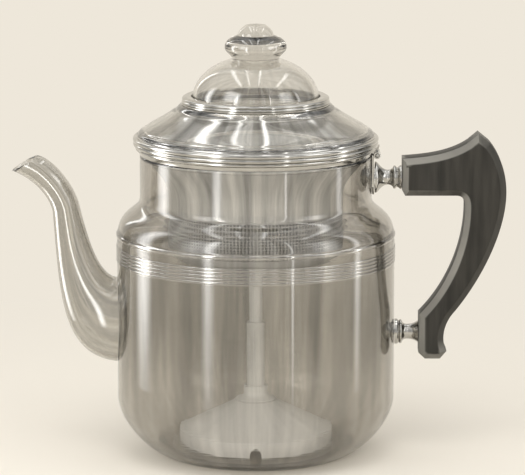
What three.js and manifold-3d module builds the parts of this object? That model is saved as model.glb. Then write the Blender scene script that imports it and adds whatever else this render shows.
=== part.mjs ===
// A stove-top coffee percolator: a see-through pot with a swan-neck spout and a black grip on two turned
// sockets, a hinged lid with a glass dome, and the pump, basket and spreader that stand inside it.
// Millimetres, +Z up. The pot's axis is the Z axis and it stands on z = 0. The spout points to -X and the
// grip to +X.
import * as THREE from "three";
import { mergeVertices } from "three/addons/utils/BufferGeometryUtils.js";
import Module from "manifold-3d";

const wasm = await Module();
wasm.setup();

// Clearances
const seatGap = 0.3; // between pieces that rest on each other
const slipGap = 0.45; // between a tube and what slides in it
const cutMargin = 4; // how far a cutter runs past what it cuts

// Facets round a turned piece
const wideFacets = 36;
const middleFacets = 28;
const narrowFacets = 16;
const holeFacets = 6;

// Pot
const bodyRadius = 72;
const glassWall = 2.2;
const floorThickness = 5;
const footRadius = 44;
const cornerHeight = 31;
const uprightTop = 113;
const shoulderHeight = 23;
const neckRadius = 60;
const neckHeight = 22;
const seatWidth = 0.8; // the step inside the neck's mouth that carries the basket
const seatDepth = 1.8;
const ringCount = 4; // fine raised rings under the shoulder
const ringPitch = 2.4;
const ringHeight = 0.4;
const ringDrop = 2.6; // from the shoulder's start down to the first ring

// Spout
const spoutWall = 1.8;
const spoutRootHeight = 70.4;
const spoutRootHalfHeight = 22.2;
const spoutRootHalfWidth = 15;
const spoutThroatRadius = 7.2;
const spoutThroatSlope = 17; // degrees that the throat's section falls away outwards
const spoutThroatOut = 26.3;
const spoutThroatRise = 58.6;
const spoutMouthRadius = 7.8;
const spoutMouthOut = 47.2;
const spoutMouthRise = 82.4;
const spoutMouthSlope = 30; // degrees that the cut mouth falls away outwards
const spoutSections = 9; // in each half of the spout
const spoutSides = 20;

// Sockets, bolts and grip
const upperSocketRise = 9.4; // above the neck's start
const lowerSocketHeight = 64;
const upperSocketLength = 15.6; // from the neck to the grip
const lowerSocketLength = 12.6; // from the body to the grip
const upperFlangeRadius = 8.1;
const lowerFlangeRadius = 6.6;
const waistRadius = 3.9;
const cupRadius = 6.3;
const beadRadius = 6.5;
const boltRadius = 2;
const boltHeadRadius = 4.4;
const boltHeadHeight = 2.2;
const washerThickness = 0.8;
const washerRadius = 5.6;
const insertRadius = 3.6;
const insertLength = 8;
const insertDepth = 1.5; // from the grip's face to the insert
const gripThickness = 18;
const gripBevel = 3.4;
const gripBevelSteps = 2;
const armDepth = 19.6; // height of the grip's upper arm
const hornRise = 12.9; // from the arm's top corner up to the thumb horn's point
const hornReach = 39.2; // from the grip's upper face out to the horn's point
const backReach = 53.9; // from the grip's upper face out to the furthest point of its back
const palmReach = 32.3; // from the grip's upper face to the palm side of the grip
const footWidth = 12.8; // of the grip's lower end
const footDrop = 13.5; // from the lower socket's axis down to the grip's lower end
const footRise = 10; // from the lower socket's axis up to where the grip leaves its lower end

// Hinge
const hingeOut = 2.6; // from the neck's outside to the pin's axis
const hingeDrop = 0.2; // from the neck's top down to the pin's axis
const hingePinRadius = 0.9;
const knuckleRadius = 1.85;
const hingeWidth = 14;
const leafWidth = 6;
const leafThickness = 1.6;
const strapThickness = 1;
const strapDrop = 9; // from the upper socket's axis down to the strap's lower end

// Lid
const rimLand = 0.5; // how far the rim's foot reaches inside the neck's outer edge
const rimOverhang = 3.5; // beyond the neck
const rimHeight = 9.7;
const rimBulge = 6.4; // height of the rim's widest place above its foot
const coverWall = 2;
const coverRise = 15.8; // from the rim's top to the cover's ledge
const coverSteps = 7;
const domeRadius = 32.6;
const domeHeight = 22;
const domeWall = 2;
const domeFlange = 3.6; // width of the dome's foot beyond its wall
const domeFlangeThickness = 1.6;
const ledgeMargin = 2.6; // from the dome's foot out to the cover's ledge corner
const ledgeWidth = 5.3;
const gasketThickness = 0.8;
const collarThickness = 1;
const knobNeckRadius = 11.9;
const knobRadius = 16;
const knobHeight = 12.1;
const buttonRadius = 9.3;
const buttonHeight = 5.7;
const domeSteps = 6;

// Basket and spreader
const sheet = 0.9; // thickness of the basket's, spreader's and pump's metal
const basketRoom = 12.6; // between the basket's wall and the neck
const basketBottom = 104;
const basketCorner = 4.5;
const flareStart = 137;
const lipWidth = 1.6;
const flareSteps = 5;
const chimneyRadius = 5.6; // the tube in the basket round the stem
const chimneyWall = 0.8;
const chimneyHeight = 31;
const drainRadius = 1.5;
const drainRows = 3;
const drainsPerRow = 16;
const drainPitch = 6;
const floorDrainRings = 2;
const floorDrainPitch = 11;
const spreaderSeat = 0.22; // how far along the flare the spreader rests
const spreaderDish = 2.4;
const spreaderRim = 1.6;
const spreaderHoleRings = 2;

// Pump
const skirtRadius = 40;
const skirtHeight = 8;
const coneTopRadius = 10.8;
const coneHeight = 14.6;
const notchCount = 3;
const notchWidth = 6;
const notchHeight = 4.8;
const stemRadius = 3.5;
const stemWall = 0.8;
const stemTop = 162;
const stemFoot = 22;
const sleeveRadius = 4.8;
const sleeveTop = 69.5;
const collarHeight = 7.6;
const collarWall = 1.1;
const collarStep = 1.2;

// Heights and radii that follow from those
const neckBottom = uprightTop + shoulderHeight;
const neckTop = neckBottom + neckHeight;
const neckInside = neckRadius - glassWall;
const basketRadius = neckInside - basketRoom;
const upperSocketHeight = neckBottom + upperSocketRise;
const gripFace = neckRadius + upperSocketLength;
const gripFootFace = bodyRadius + lowerSocketLength;
const boltBore = boltRadius + seatGap;
const hingeX = neckRadius + hingeOut;
const hingeZ = neckTop - hingeDrop;
const rimFoot = neckTop + seatGap;
const rimTop = rimFoot + rimHeight;
const ledgeTop = rimTop + coverRise;
const ledgeRadius = domeRadius + domeFlange + ledgeMargin;
const domeFoot = ledgeTop + gasketThickness + 2 * seatGap;
const domeSpring = domeFoot + domeFlangeThickness;
const skirtFoot = floorThickness + seatGap;
const coneTop = skirtFoot + skirtHeight + coneHeight;
const sleeveBore = stemRadius + slipGap / 2;
const pumpBore = sleeveRadius + slipGap / 2;
const lipHeight = neckTop - seatDepth + seatGap;

const materials = {
  glass: new THREE.MeshStandardMaterial({
    color: 0xb9bba9,
    roughness: 0.05,
    metalness: 0,
    transparent: true,
    opacity: 0.4,
  }),
  metal: new THREE.MeshStandardMaterial({ color: 0xc9c8c0, roughness: 0.18, metalness: 1 }),
  sheetMetal: new THREE.MeshStandardMaterial({ color: 0xb4b3aa, roughness: 0.3, metalness: 1 }),
  wood: new THREE.MeshStandardMaterial({ color: 0x24221e, roughness: 0.45, metalness: 0 }),
  rubber: new THREE.MeshStandardMaterial({ color: 0x54483c, roughness: 0.85, metalness: 0 }),
  brass: new THREE.MeshStandardMaterial({ color: 0xb08d4a, roughness: 0.35, metalness: 1 }),
};

const part = new THREE.Group();

function addPiece(name, geometry, material) {
  const mesh = new THREE.Mesh(geometry, material);
  mesh.name = name;
  part.add(mesh);
}

const at = (radius, height) => new THREE.Vector2(radius, height);

// The closed profile of a plain ring.
function band(bore, radius, low, high) {
  return [at(bore, low), at(radius, low), at(radius, high), at(bore, high), at(bore, low)];
}

// Points of a cubic curve from a to d, steered by b and c.
function curve(a, b, c, d, steps) {
  return new THREE.CubicBezierCurve(a, b, c, d).getPoints(steps);
}

// A turned solid about the Z axis, from a profile that runs anticlockwise as (radius, height).
function turned(profile, facets) {
  return new THREE.LatheGeometry(profile, facets).rotateX(Math.PI / 2);
}

// The same about the X axis, with heights of the profile along X and the axis at the given height.
function turnedAlongX(profile, facets, height) {
  return turned(profile, facets)
    .rotateY(Math.PI / 2)
    .translate(0, 0, height);
}

// The profile moved sideways by distance, to the left of the way it runs.
function parallel(profile, distance) {
  return profile.map((point, i) => {
    const before = profile[Math.max(i - 1, 0)];
    const after = profile[Math.min(i + 1, profile.length - 1)];
    const run = after.clone().sub(before).normalize();
    return at(point.x - run.y * distance, point.y + run.x * distance);
  });
}

// The part of a rising profile above a height, starting exactly on it.
function above(profile, height) {
  const first = profile.findIndex((point) => point.y > height);
  const low = profile[Math.max(first - 1, 0)];
  const share = THREE.MathUtils.clamp((height - low.y) / (profile[first].y - low.y), 0, 1);
  const start = low.clone().lerp(profile[first], share);
  return [at(start.x, height), ...profile.slice(first)];
}

function solidOf(geometry) {
  const bare = new THREE.BufferGeometry();
  bare.setAttribute("position", geometry.getAttribute("position"));
  bare.setIndex(geometry.getIndex());
  const merged = mergeVertices(bare, 1e-4);
  const mesh = new wasm.Mesh({
    numProp: 3,
    vertProperties: merged.getAttribute("position").array,
    triVerts: new Uint32Array(merged.getIndex().array),
  });
  return new wasm.Manifold(mesh);
}

function geometryOf(solid) {
  const { vertProperties, triVerts } = solid.getMesh();
  const geometry = new THREE.BufferGeometry();
  geometry.setAttribute("position", new THREE.BufferAttribute(vertProperties, 3));
  geometry.setIndex(new THREE.BufferAttribute(triVerts, 1));
  return geometry;
}

function cut(geometry, cutters) {
  return geometryOf(cutters.reduce((left, cutter) => left.subtract(solidOf(cutter)), solidOf(geometry)));
}

// A plain cylinder about the Z axis.
function post(radius, low, high, facets) {
  return turned([at(0, low), at(radius, low), at(radius, high), at(0, high)], facets);
}

// A plain cylinder about a line along X.
function rod(radius, from, to, height, facets) {
  return turnedAlongX([at(0, from), at(radius, from), at(radius, to), at(0, to)], facets, height);
}

// A tube about a line along Y through (x, z).
function barrel(outer, bore, width, x, z) {
  const half = width / 2;
  return turned(band(bore, outer, -half, half), narrowFacets)
    .rotateX(Math.PI / 2)
    .translate(x, 0, z);
}

function block(x0, x1, y0, y1, z0, z1) {
  const middle = [(x0 + x1) / 2, (y0 + y1) / 2, (z0 + z1) / 2];
  return new THREE.BoxGeometry(x1 - x0, y1 - y0, z1 - z0).translate(...middle);
}

// The pot's outside from the middle of its foot up to the neck's mouth.
function potOutside() {
  const corner = bodyRadius - footRadius;
  const shoulderStep = bodyRadius - neckRadius;
  const bottom = curve(
    at(footRadius, 0),
    at(footRadius + corner * 0.36, 0),
    at(bodyRadius, cornerHeight * 0.55),
    at(bodyRadius, cornerHeight),
    6,
  );
  const lowestRing = uprightTop - ringDrop - (ringCount - 1) * ringPitch;
  const rings = [at(bodyRadius, lowestRing - ringPitch / 2)];
  for (let i = 0; i < ringCount; i++) {
    const height = lowestRing + i * ringPitch;
    rings.push(at(bodyRadius + ringHeight, height), at(bodyRadius, height + ringPitch / 2));
  }
  const turn = at(neckRadius + shoulderStep * 0.44, uprightTop + shoulderHeight * 0.66);
  const shoulder = curve(
    at(bodyRadius, uprightTop),
    at(bodyRadius, uprightTop + shoulderHeight * 0.4),
    at(turn.x + shoulderStep * 0.32, turn.y - shoulderHeight * 0.13),
    turn,
    5,
  );
  const throat = curve(
    turn,
    at(turn.x - shoulderStep * 0.26, turn.y + shoulderHeight * 0.11),
    at(neckRadius, turn.y + shoulderHeight * 0.16),
    at(neckRadius, neckBottom),
    4,
  );
  return [...bottom, ...rings, ...shoulder, ...throat.slice(1), at(neckRadius, neckTop)];
}

// The pot's inside, a wall's thickness in from its outside without the rings, from the floor up.
function potInside() {
  const smooth = potOutside().filter((point) => point.x <= bodyRadius);
  return above(parallel(smooth, glassWall), floorThickness);
}

function addPot() {
  const inside = potInside();
  inside.pop();
  const mouth = [
    at(neckInside + seatWidth, neckTop),
    at(neckInside + seatWidth, neckTop - seatDepth),
    at(neckInside, neckTop - seatDepth),
  ];
  const profile = [at(0, 0), ...potOutside(), ...mouth, ...inside.reverse(), at(0, floorThickness)];
  const shell = turned(profile, wideFacets);
  const bodyInside = bodyRadius - glassWall;
  const boltHoles = [
    rod(boltBore, neckInside - cutMargin, neckRadius + cutMargin, upperSocketHeight, narrowFacets),
    rod(boltBore, bodyInside - cutMargin, bodyRadius + cutMargin, lowerSocketHeight, narrowFacets),
  ];
  const port = spoutBody(spoutWall + seatGap, bodyInside - cutMargin * 2, 0);
  addPiece("pot_body", cut(shell, [...boltHoles, port]), materials.glass);
}

// A cubic curve from a to d, its steering points given as shares of the run and rise between them.
function bend(a, d, [run1, rise1], [run2, rise2]) {
  const run = d.x - a.x;
  const rise = d.y - a.y;
  return new THREE.CubicBezierCurve(
    a,
    at(a.x + run * run1, a.y + rise * rise1),
    at(a.x + run * run2, a.y + rise * rise2),
    d,
  );
}

// One edge of the spout in the XZ plane, as distance out from the axis and height. Side 1 is the outer
// edge and -1 the inner.
function spoutEdge(side) {
  const out = (middle, radius, slope) => {
    const turn = THREE.MathUtils.degToRad(-slope);
    return at(middle.x + side * radius * Math.cos(turn), middle.y + side * radius * Math.sin(turn));
  };
  const root = out(at(bodyRadius, spoutRootHeight), spoutRootHalfHeight, 90);
  const throatMiddle = at(bodyRadius + spoutThroatOut, spoutRootHeight + spoutThroatRise);
  const throat = out(throatMiddle, spoutThroatRadius, spoutThroatSlope);
  const mouthMiddle = at(bodyRadius + spoutMouthOut, spoutRootHeight + spoutMouthRise);
  const mouth = out(mouthMiddle, spoutMouthRadius, spoutMouthSlope);
  if (side > 0) {
    return [bend(root, throat, [0.9, 0.04], [0.9, 0.45]), bend(throat, mouth, [0.06, 0.37], [0.45, 0.8])];
  }
  return [bend(root, throat, [0.46, 0.02], [0.75, 0.45]), bend(throat, mouth, [0.1, 0.35], [0.58, 0.91])];
}

// The cross-sections of the spout, each with its middle, its angle in the XZ plane and its two half sizes.
function spoutStations(inset) {
  const outer = spoutEdge(1);
  const inner = spoutEdge(-1);
  const stations = [];
  for (let i = 0; i <= 2 * spoutSections; i++) {
    const half = i <= spoutSections ? 0 : 1;
    const share = i / spoutSections - half;
    // The long outer edge is walked faster at first, so the sections stay square to the flow.
    const outerShare = half === 0 ? share ** 0.85 : share;
    const innerShare = half === 0 ? share ** 1.15 : share;
    const far = outer[half].getPoint(outerShare);
    const near = inner[half].getPoint(innerShare);
    const across = far.clone().sub(near);
    const ease = ((1 + Math.cos(Math.PI * share)) / 2) ** 1.3;
    const taper = spoutThroatRadius + (spoutRootHalfWidth - spoutThroatRadius) * ease;
    const flare = spoutThroatRadius + (spoutMouthRadius - spoutThroatRadius) * share;
    stations.push({
      middle: far.clone().add(near).multiplyScalar(0.5),
      angle: Math.atan2(across.y, across.x),
      tall: across.length() / 2 - inset,
      wide: (half === 0 ? taper : flare) - inset,
    });
  }
  return stations;
}

// A closed solid of the spout, its surface inset from the outside, run on into the pot and past the mouth.
function spoutBody(inset, rootRadius, overrun) {
  const stations = spoutStations(inset);
  const first = stations[0];
  const last = stations[stations.length - 1];
  const rings = [{ ...first, middle: at(rootRadius, first.middle.y) }, ...stations];
  if (overrun > 0) {
    const direction = last.middle.clone().sub(stations[stations.length - 3].middle).normalize();
    rings.push({ ...last, middle: last.middle.clone().addScaledVector(direction, overrun) });
  }
  const points = [];
  for (const { middle, angle, tall, wide } of rings) {
    for (let k = 0; k < spoutSides; k++) {
      const turn = (k / spoutSides) * Math.PI * 2;
      const reach = Math.cos(turn) * tall;
      const out = middle.x + reach * Math.cos(angle);
      points.push(-out, Math.sin(turn) * wide, middle.y + reach * Math.sin(angle));
    }
  }
  const faces = [];
  for (let i = 0; i + 1 < rings.length; i++) {
    for (let k = 0; k < spoutSides; k++) {
      const a = i * spoutSides + k;
      const b = i * spoutSides + ((k + 1) % spoutSides);
      faces.push(a, a + spoutSides, b, b, a + spoutSides, b + spoutSides);
    }
  }
  const end = (rings.length - 1) * spoutSides;
  for (let k = 1; k + 1 < spoutSides; k++) {
    faces.push(0, k, k + 1, end, end + k + 1, end + k);
  }
  const geometry = new THREE.BufferGeometry();
  geometry.setAttribute("position", new THREE.Float32BufferAttribute(points, 3));
  geometry.setIndex(faces);
  return geometry;
}

function addSpout() {
  const outside = spoutBody(0, bodyRadius - cutMargin * 2, 0);
  const bore = spoutBody(spoutWall, bodyRadius - cutMargin * 3, cutMargin);
  const wall = potOutside().map((point) => at(point.x + seatGap, point.y));
  const pot = turned([at(0, 0), ...wall, at(0, neckTop)], wideFacets);
  addPiece("spout", cut(outside, [bore, pot]), materials.glass);
}

// A socket turned about a line along X and cut to sit on the round wall. The outline holds radius and
// distance from the wall.
function socket(outline, wallRadius, height) {
  const last = outline[outline.length - 1];
  const profile = [at(boltBore, wallRadius - cutMargin), ...outline.map((p) => at(p.x, wallRadius + p.y))];
  profile.push(at(boltBore, wallRadius + last.y), at(boltBore, wallRadius - cutMargin));
  const wall = post(wallRadius, height - cutMargin * 4, height + cutMargin * 4, wideFacets * 2);
  return cut(turnedAlongX(profile, narrowFacets + 4, height), [wall]);
}

function addSockets() {
  const strapOutside = neckRadius + seatGap + strapThickness + seatGap;
  const upperReach = gripFace - seatGap - strapOutside;
  const upperOutline = [
    at(upperFlangeRadius, -cutMargin),
    at(upperFlangeRadius, 0.6),
    at(upperFlangeRadius * 0.86, 1.9),
    at(waistRadius + 1.2, upperReach * 0.27),
    at(waistRadius, upperReach * 0.45),
    at(waistRadius + 0.4, upperReach * 0.6),
    at(beadRadius, upperReach * 0.72),
    at(beadRadius, upperReach * 0.8),
    at(cupRadius * 0.86, upperReach * 0.87),
    at(cupRadius, upperReach),
  ];
  addPiece("upper_socket", socket(upperOutline, strapOutside, upperSocketHeight), materials.metal);

  const bodyOutside = bodyRadius + seatGap;
  const lowerReach = gripFootFace - seatGap - bodyOutside;
  const lowerOutline = [
    at(lowerFlangeRadius, -cutMargin),
    at(lowerFlangeRadius, lowerReach * 0.12),
    at(lowerFlangeRadius * 0.86, lowerReach * 0.16),
    at(lowerFlangeRadius * 0.94, lowerReach * 0.25),
    at(waistRadius + 0.3, lowerReach * 0.34),
    at(waistRadius, lowerReach * 0.5),
    at(waistRadius + 0.3, lowerReach * 0.82),
    at(cupRadius * 0.9, lowerReach),
  ];
  addPiece("lower_socket", socket(lowerOutline, bodyOutside, lowerSocketHeight), materials.metal);
}

// A bolt from inside the pot through the wall and the socket into the grip, with the washer under its head.
function addBolt(name, wallInside, tip, height) {
  const washerFace = wallInside - seatGap;
  const headFace = washerFace - washerThickness - seatGap;
  const headBack = headFace - boltHeadHeight;
  const bolt = turnedAlongX(
    [
      at(0, headBack),
      at(boltHeadRadius * 0.7, headBack),
      at(boltHeadRadius, headBack + boltHeadHeight * 0.5),
      at(boltHeadRadius, headFace),
      at(boltRadius, headFace),
      at(boltRadius, tip),
      at(0, tip),
    ],
    narrowFacets,
    height,
  );
  addPiece(`${name}_bolt`, bolt, materials.metal);
  const washer = turnedAlongX(
    band(boltBore, washerRadius, washerFace - washerThickness, washerFace),
    narrowFacets,
    height,
  );
  // The wall curves in beside the bolt, so the washer is pressed to its shape.
  const room = post(washerFace, height - cutMargin * 3, height + cutMargin * 3, wideFacets);
  addPiece(`${name}_washer`, geometryOf(solidOf(washer).intersect(solidOf(room))), materials.rubber);
}

function addInsert(name, face, height) {
  const low = face + insertDepth;
  const high = low + insertLength;
  const profile = band(boltBore, insertRadius, low, high);
  addPiece(`${name}_insert`, turnedAlongX(profile, narrowFacets, height), materials.brass);
}

// The grip's side outline: a level arm, a thumb horn, a bowed back and a foot on the lower socket.
function gripOutline() {
  const armTop = upperSocketHeight + armDepth / 2 + 0.9;
  const armBottom = armTop - armDepth;
  const horn = at(gripFace + hornReach, armTop + hornRise);
  const back = at(gripFace + backReach, armBottom + 1.5);
  const palm = at(gripFace + palmReach, armBottom - 4.6);
  const footTop = lowerSocketHeight + footRise;
  const footBottom = lowerSocketHeight - footDrop;
  const heel = gripFootFace + footWidth;
  const outline = new THREE.Shape();
  outline.moveTo(gripFace, armBottom + 3);
  outline.lineTo(gripFace + 1.6, armBottom);
  outline.lineTo(palm.x - 1.1, armBottom);
  outline.lineTo(palm.x, palm.y);
  outline.bezierCurveTo(palm.x + 0.4, palm.y - 22, gripFootFace + 14, footTop + 14, gripFootFace, footTop);
  outline.lineTo(gripFootFace, footBottom + 3.2);
  outline.lineTo(gripFootFace + 3.4, footBottom);
  outline.lineTo(heel - 1.6, footBottom);
  outline.lineTo(heel + 1.8, footBottom + 4);
  outline.bezierCurveTo(heel - 1, footBottom + 9, heel - 0.6, footBottom + 18, heel + 6, footTop + 1.6);
  outline.bezierCurveTo(heel + 20, footTop + 19, back.x, back.y - 20, back.x, back.y);
  outline.bezierCurveTo(back.x, back.y + 13, horn.x + 9, horn.y - 5, horn.x, horn.y);
  outline.bezierCurveTo(horn.x - 10, horn.y - 10.4, gripFace + 14, armTop + 0.9, gripFace, armTop);
  outline.closePath();
  return outline;
}

function addGrip() {
  const plank = new THREE.ExtrudeGeometry(gripOutline(), {
    depth: gripThickness - 2 * gripBevel,
    bevelEnabled: true,
    bevelThickness: gripBevel,
    bevelSize: gripBevel,
    bevelOffset: -gripBevel,
    bevelSegments: gripBevelSteps,
    curveSegments: 9,
  })
    .rotateX(Math.PI / 2)
    .translate(0, gripThickness / 2 - gripBevel, 0);
  const bore = insertRadius + seatGap;
  const depth = insertDepth + insertLength + seatGap;
  const bores = [
    rod(bore, gripFace - cutMargin, gripFace + depth, upperSocketHeight, narrowFacets),
    rod(bore, gripFootFace - cutMargin, gripFootFace + depth, lowerSocketHeight, narrowFacets),
  ];
  addPiece("grip", cut(plank, bores), materials.wood);
}

// The strap under the upper socket's flange, which rises to two knuckles that hold the pin.
function addHinge() {
  const inner = neckRadius + seatGap;
  const outer = inner + strapThickness;
  const low = upperSocketHeight - strapDrop;
  const high = hingeZ - 0.6;
  const ring = turned(band(inner, outer, low, high), wideFacets * 2);
  const strip = block(0, outer + cutMargin, -hingeWidth / 2, hingeWidth / 2, low, high);
  const strap = solidOf(ring).intersect(solidOf(strip));
  const knuckleWidth = (hingeWidth - leafWidth) / 2 - seatGap;
  const knuckleMiddle = (hingeWidth - knuckleWidth) / 2;
  const pinBore = hingePinRadius + seatGap / 2;
  const knuckles = [-1, 1].map((side) => {
    const knuckle = barrel(knuckleRadius, pinBore, knuckleWidth, hingeX, hingeZ);
    return solidOf(knuckle.translate(0, side * knuckleMiddle, 0));
  });
  const notch = block(
    inner - 1,
    hingeX + knuckleRadius,
    -leafWidth / 2 - seatGap,
    leafWidth / 2 + seatGap,
    hingeZ - knuckleRadius - 2 * seatGap,
    hingeZ + knuckleRadius,
  );
  const pinHole = solidOf(barrel(pinBore, 0, hingeWidth + cutMargin, hingeX, hingeZ));
  const boltHole = rod(boltBore, neckRadius - cutMargin, outer + cutMargin, upperSocketHeight, narrowFacets);
  const bracket = strap
    .add(knuckles[0])
    .add(knuckles[1])
    .subtract(solidOf(notch))
    .subtract(pinHole)
    .subtract(solidOf(boltHole));
  addPiece("hinge_bracket", geometryOf(bracket), materials.metal);

  addPiece("hinge_pin", barrel(hingePinRadius, 0, hingeWidth + 1, hingeX, hingeZ), materials.metal);

  const web = block(
    hingeX - leafThickness / 2,
    hingeX + leafThickness / 2,
    -leafWidth / 2,
    leafWidth / 2,
    hingeZ,
    rimFoot + rimBulge,
  );
  const rimSolid = turned([at(0, rimFoot), ...rimOutside(seatGap), at(0, rimTop)], wideFacets);
  const leaf = solidOf(web)
    .add(solidOf(barrel(knuckleRadius, 0, leafWidth, hingeX, hingeZ)))
    .subtract(solidOf(barrel(hingePinRadius + seatGap, 0, leafWidth + 1, hingeX, hingeZ)))
    .subtract(solidOf(rimSolid));
  addPiece("hinge_leaf", geometryOf(leaf), materials.metal);
}

// The outside of the lid's rolled rim from its foot up, grown by a margin.
function rimOutside(margin) {
  const widest = neckRadius + rimOverhang + margin;
  return [
    at(neckRadius - rimLand + margin, rimFoot - margin),
    at(neckRadius + 0.3 + margin, rimFoot - margin),
    at(neckRadius + rimOverhang * 0.5 + margin, rimFoot + rimBulge * 0.36 - margin),
    at(widest - rimOverhang * 0.12, rimFoot + rimBulge * 0.72),
    at(widest, rimFoot + rimBulge),
    at(widest - 0.4, rimFoot + rimBulge + 1.8),
    at(widest - 1.5, rimFoot + rimBulge + 2.8),
    at(widest - 2, rimTop),
  ];
}

function addLid() {
  const rimInside = neckRadius - rimLand;
  const rim = [...rimOutside(0), at(rimInside, rimTop), at(rimInside, rimFoot)];
  addPiece("lid_rim", turned(rim, wideFacets), materials.metal);

  const coverFoot = rimTop + seatGap;
  const widest = neckRadius + rimOverhang - 2.3;
  const run = widest - ledgeRadius;
  const rise = ledgeTop - coverFoot;
  const outside = curve(
    at(widest, coverFoot),
    at(widest - run * 0.1, coverFoot + rise * 0.24),
    at(ledgeRadius + run * 0.37, coverFoot + rise * 0.5),
    at(ledgeRadius, ledgeTop),
    coverSteps,
  );
  const ledgeBottom = ledgeTop - coverWall;
  const inside = above(parallel(outside, coverWall), coverFoot).filter((p) => p.y < ledgeBottom - 0.4);
  const ledgeInside = ledgeRadius - ledgeWidth;
  const cover = [
    ...outside,
    at(ledgeInside, ledgeTop),
    at(ledgeInside, ledgeBottom),
    ...inside.reverse(),
    at(widest, coverFoot),
  ];
  addPiece("lid_cover", turned(cover, wideFacets), materials.glass);
}

// The glass dome and the knob on it, one moulding on a flat foot.
function addDome() {
  const footRadiusOut = domeRadius + domeFlange;
  const arc = (radius, height, from, to, steps) => {
    const points = [];
    for (let i = 0; i <= steps; i++) {
      const turn = from + ((to - from) * i) / steps;
      points.push(at(radius * Math.cos(turn), domeSpring + height * Math.sin(turn)));
    }
    return points;
  };
  const shoulderTurn = Math.acos(knobNeckRadius / domeRadius);
  const outside = arc(domeRadius, domeHeight, 0, shoulderTurn, domeSteps);
  const knobFoot = outside[outside.length - 1].y;
  const knob = [
    at(knobNeckRadius + 0.3, knobFoot + knobHeight * 0.06),
    at(knobRadius * 0.91, knobFoot + knobHeight * 0.26),
    at(knobRadius, knobFoot + knobHeight * 0.49),
    at(knobRadius * 0.96, knobFoot + knobHeight * 0.68),
    at(knobRadius * 0.86, knobFoot + knobHeight * 0.84),
    at(knobRadius * 0.66, knobFoot + knobHeight),
    at(buttonRadius, knobFoot + knobHeight),
    at(buttonRadius * 0.93, knobFoot + knobHeight + buttonHeight * 0.42),
    at(buttonRadius * 0.6, knobFoot + knobHeight + buttonHeight * 0.86),
    at(0, knobFoot + knobHeight + buttonHeight),
  ];
  const hollow = arc(domeRadius - domeWall, domeHeight - domeWall, 0, Math.PI / 2, domeSteps).reverse();
  const profile = [
    at(0, hollow[0].y),
    ...hollow.slice(1),
    at(domeRadius - domeWall, domeFoot),
    at(footRadiusOut, domeFoot),
    at(footRadiusOut, domeSpring),
    ...outside,
    ...knob,
  ];
  addPiece("glass_dome", turned(profile, middleFacets), materials.glass);

  const gasketLow = ledgeTop + seatGap;
  const gasketHigh = gasketLow + gasketThickness;
  const gasketInside = ledgeRadius - ledgeWidth;
  const gasket = band(gasketInside, footRadiusOut, gasketLow, gasketHigh);
  addPiece("dome_gasket", turned(gasket, middleFacets), materials.rubber);

  // The metal collar over the dome's foot, turned down outside it to the cover's ledge.
  const plateLow = domeSpring + seatGap;
  const plateHigh = plateLow + collarThickness;
  const hole = domeRadius + 2 * seatGap;
  const skirtInside = footRadiusOut + 2 * seatGap;
  const skirtOutside = skirtInside + collarThickness;
  const collar = [
    at(hole, plateLow),
    at(skirtInside, plateLow),
    at(skirtInside, gasketLow),
    at(skirtOutside + 0.5, gasketLow),
    at(skirtOutside, gasketLow + 1.2),
    at(skirtOutside, plateHigh - 0.5),
    at(skirtOutside - 0.6, plateHigh),
    at(hole, plateHigh),
    at(hole, plateLow),
  ];
  addPiece("dome_collar", turned(collar, wideFacets), materials.metal);
}

// The basket's outside where it flares out to the lip that hangs in the pot's mouth.
function basketFlare() {
  const end = at(neckInside + seatWidth - seatGap - lipWidth, lipHeight);
  return bend(at(basketRadius, flareStart), end, [0.06, 0.46], [0.62, 0.66]).getPoints(flareSteps);
}

// The basket's outside from the edge of its bottom up the wall and out along the flare.
function basketOutside() {
  const corner = curve(
    at(basketRadius - basketCorner, basketBottom),
    at(basketRadius - basketCorner * 0.45, basketBottom),
    at(basketRadius, basketBottom + basketCorner * 0.45),
    at(basketRadius, basketBottom + basketCorner),
    3,
  );
  return [...corner, ...basketFlare()];
}

// Small cutters that point outward round a ring at one height.
function ringOfDrains(count, radius, height, startTurn) {
  const drains = [];
  for (let i = 0; i < count; i++) {
    const drain = new THREE.CylinderGeometry(drainRadius, drainRadius, cutMargin * 2, holeFacets)
      .rotateX(Math.PI / 2)
      .translate(0, 0, radius)
      .rotateY(((i + startTurn) / count) * Math.PI * 2)
      .rotateX(Math.PI / 2)
      .translate(0, 0, height);
    drains.push(drain);
  }
  return drains;
}

// Small upright cutters round a ring.
function ringOfHoles(count, radius, height) {
  const holes = [];
  for (let i = 0; i < count; i++) {
    const turn = (i / count) * Math.PI * 2;
    const hole = new THREE.CylinderGeometry(drainRadius, drainRadius, cutMargin * 2, holeFacets)
      .rotateX(Math.PI / 2)
      .translate(radius * Math.cos(turn), radius * Math.sin(turn), height);
    holes.push(hole);
  }
  return holes;
}

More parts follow.
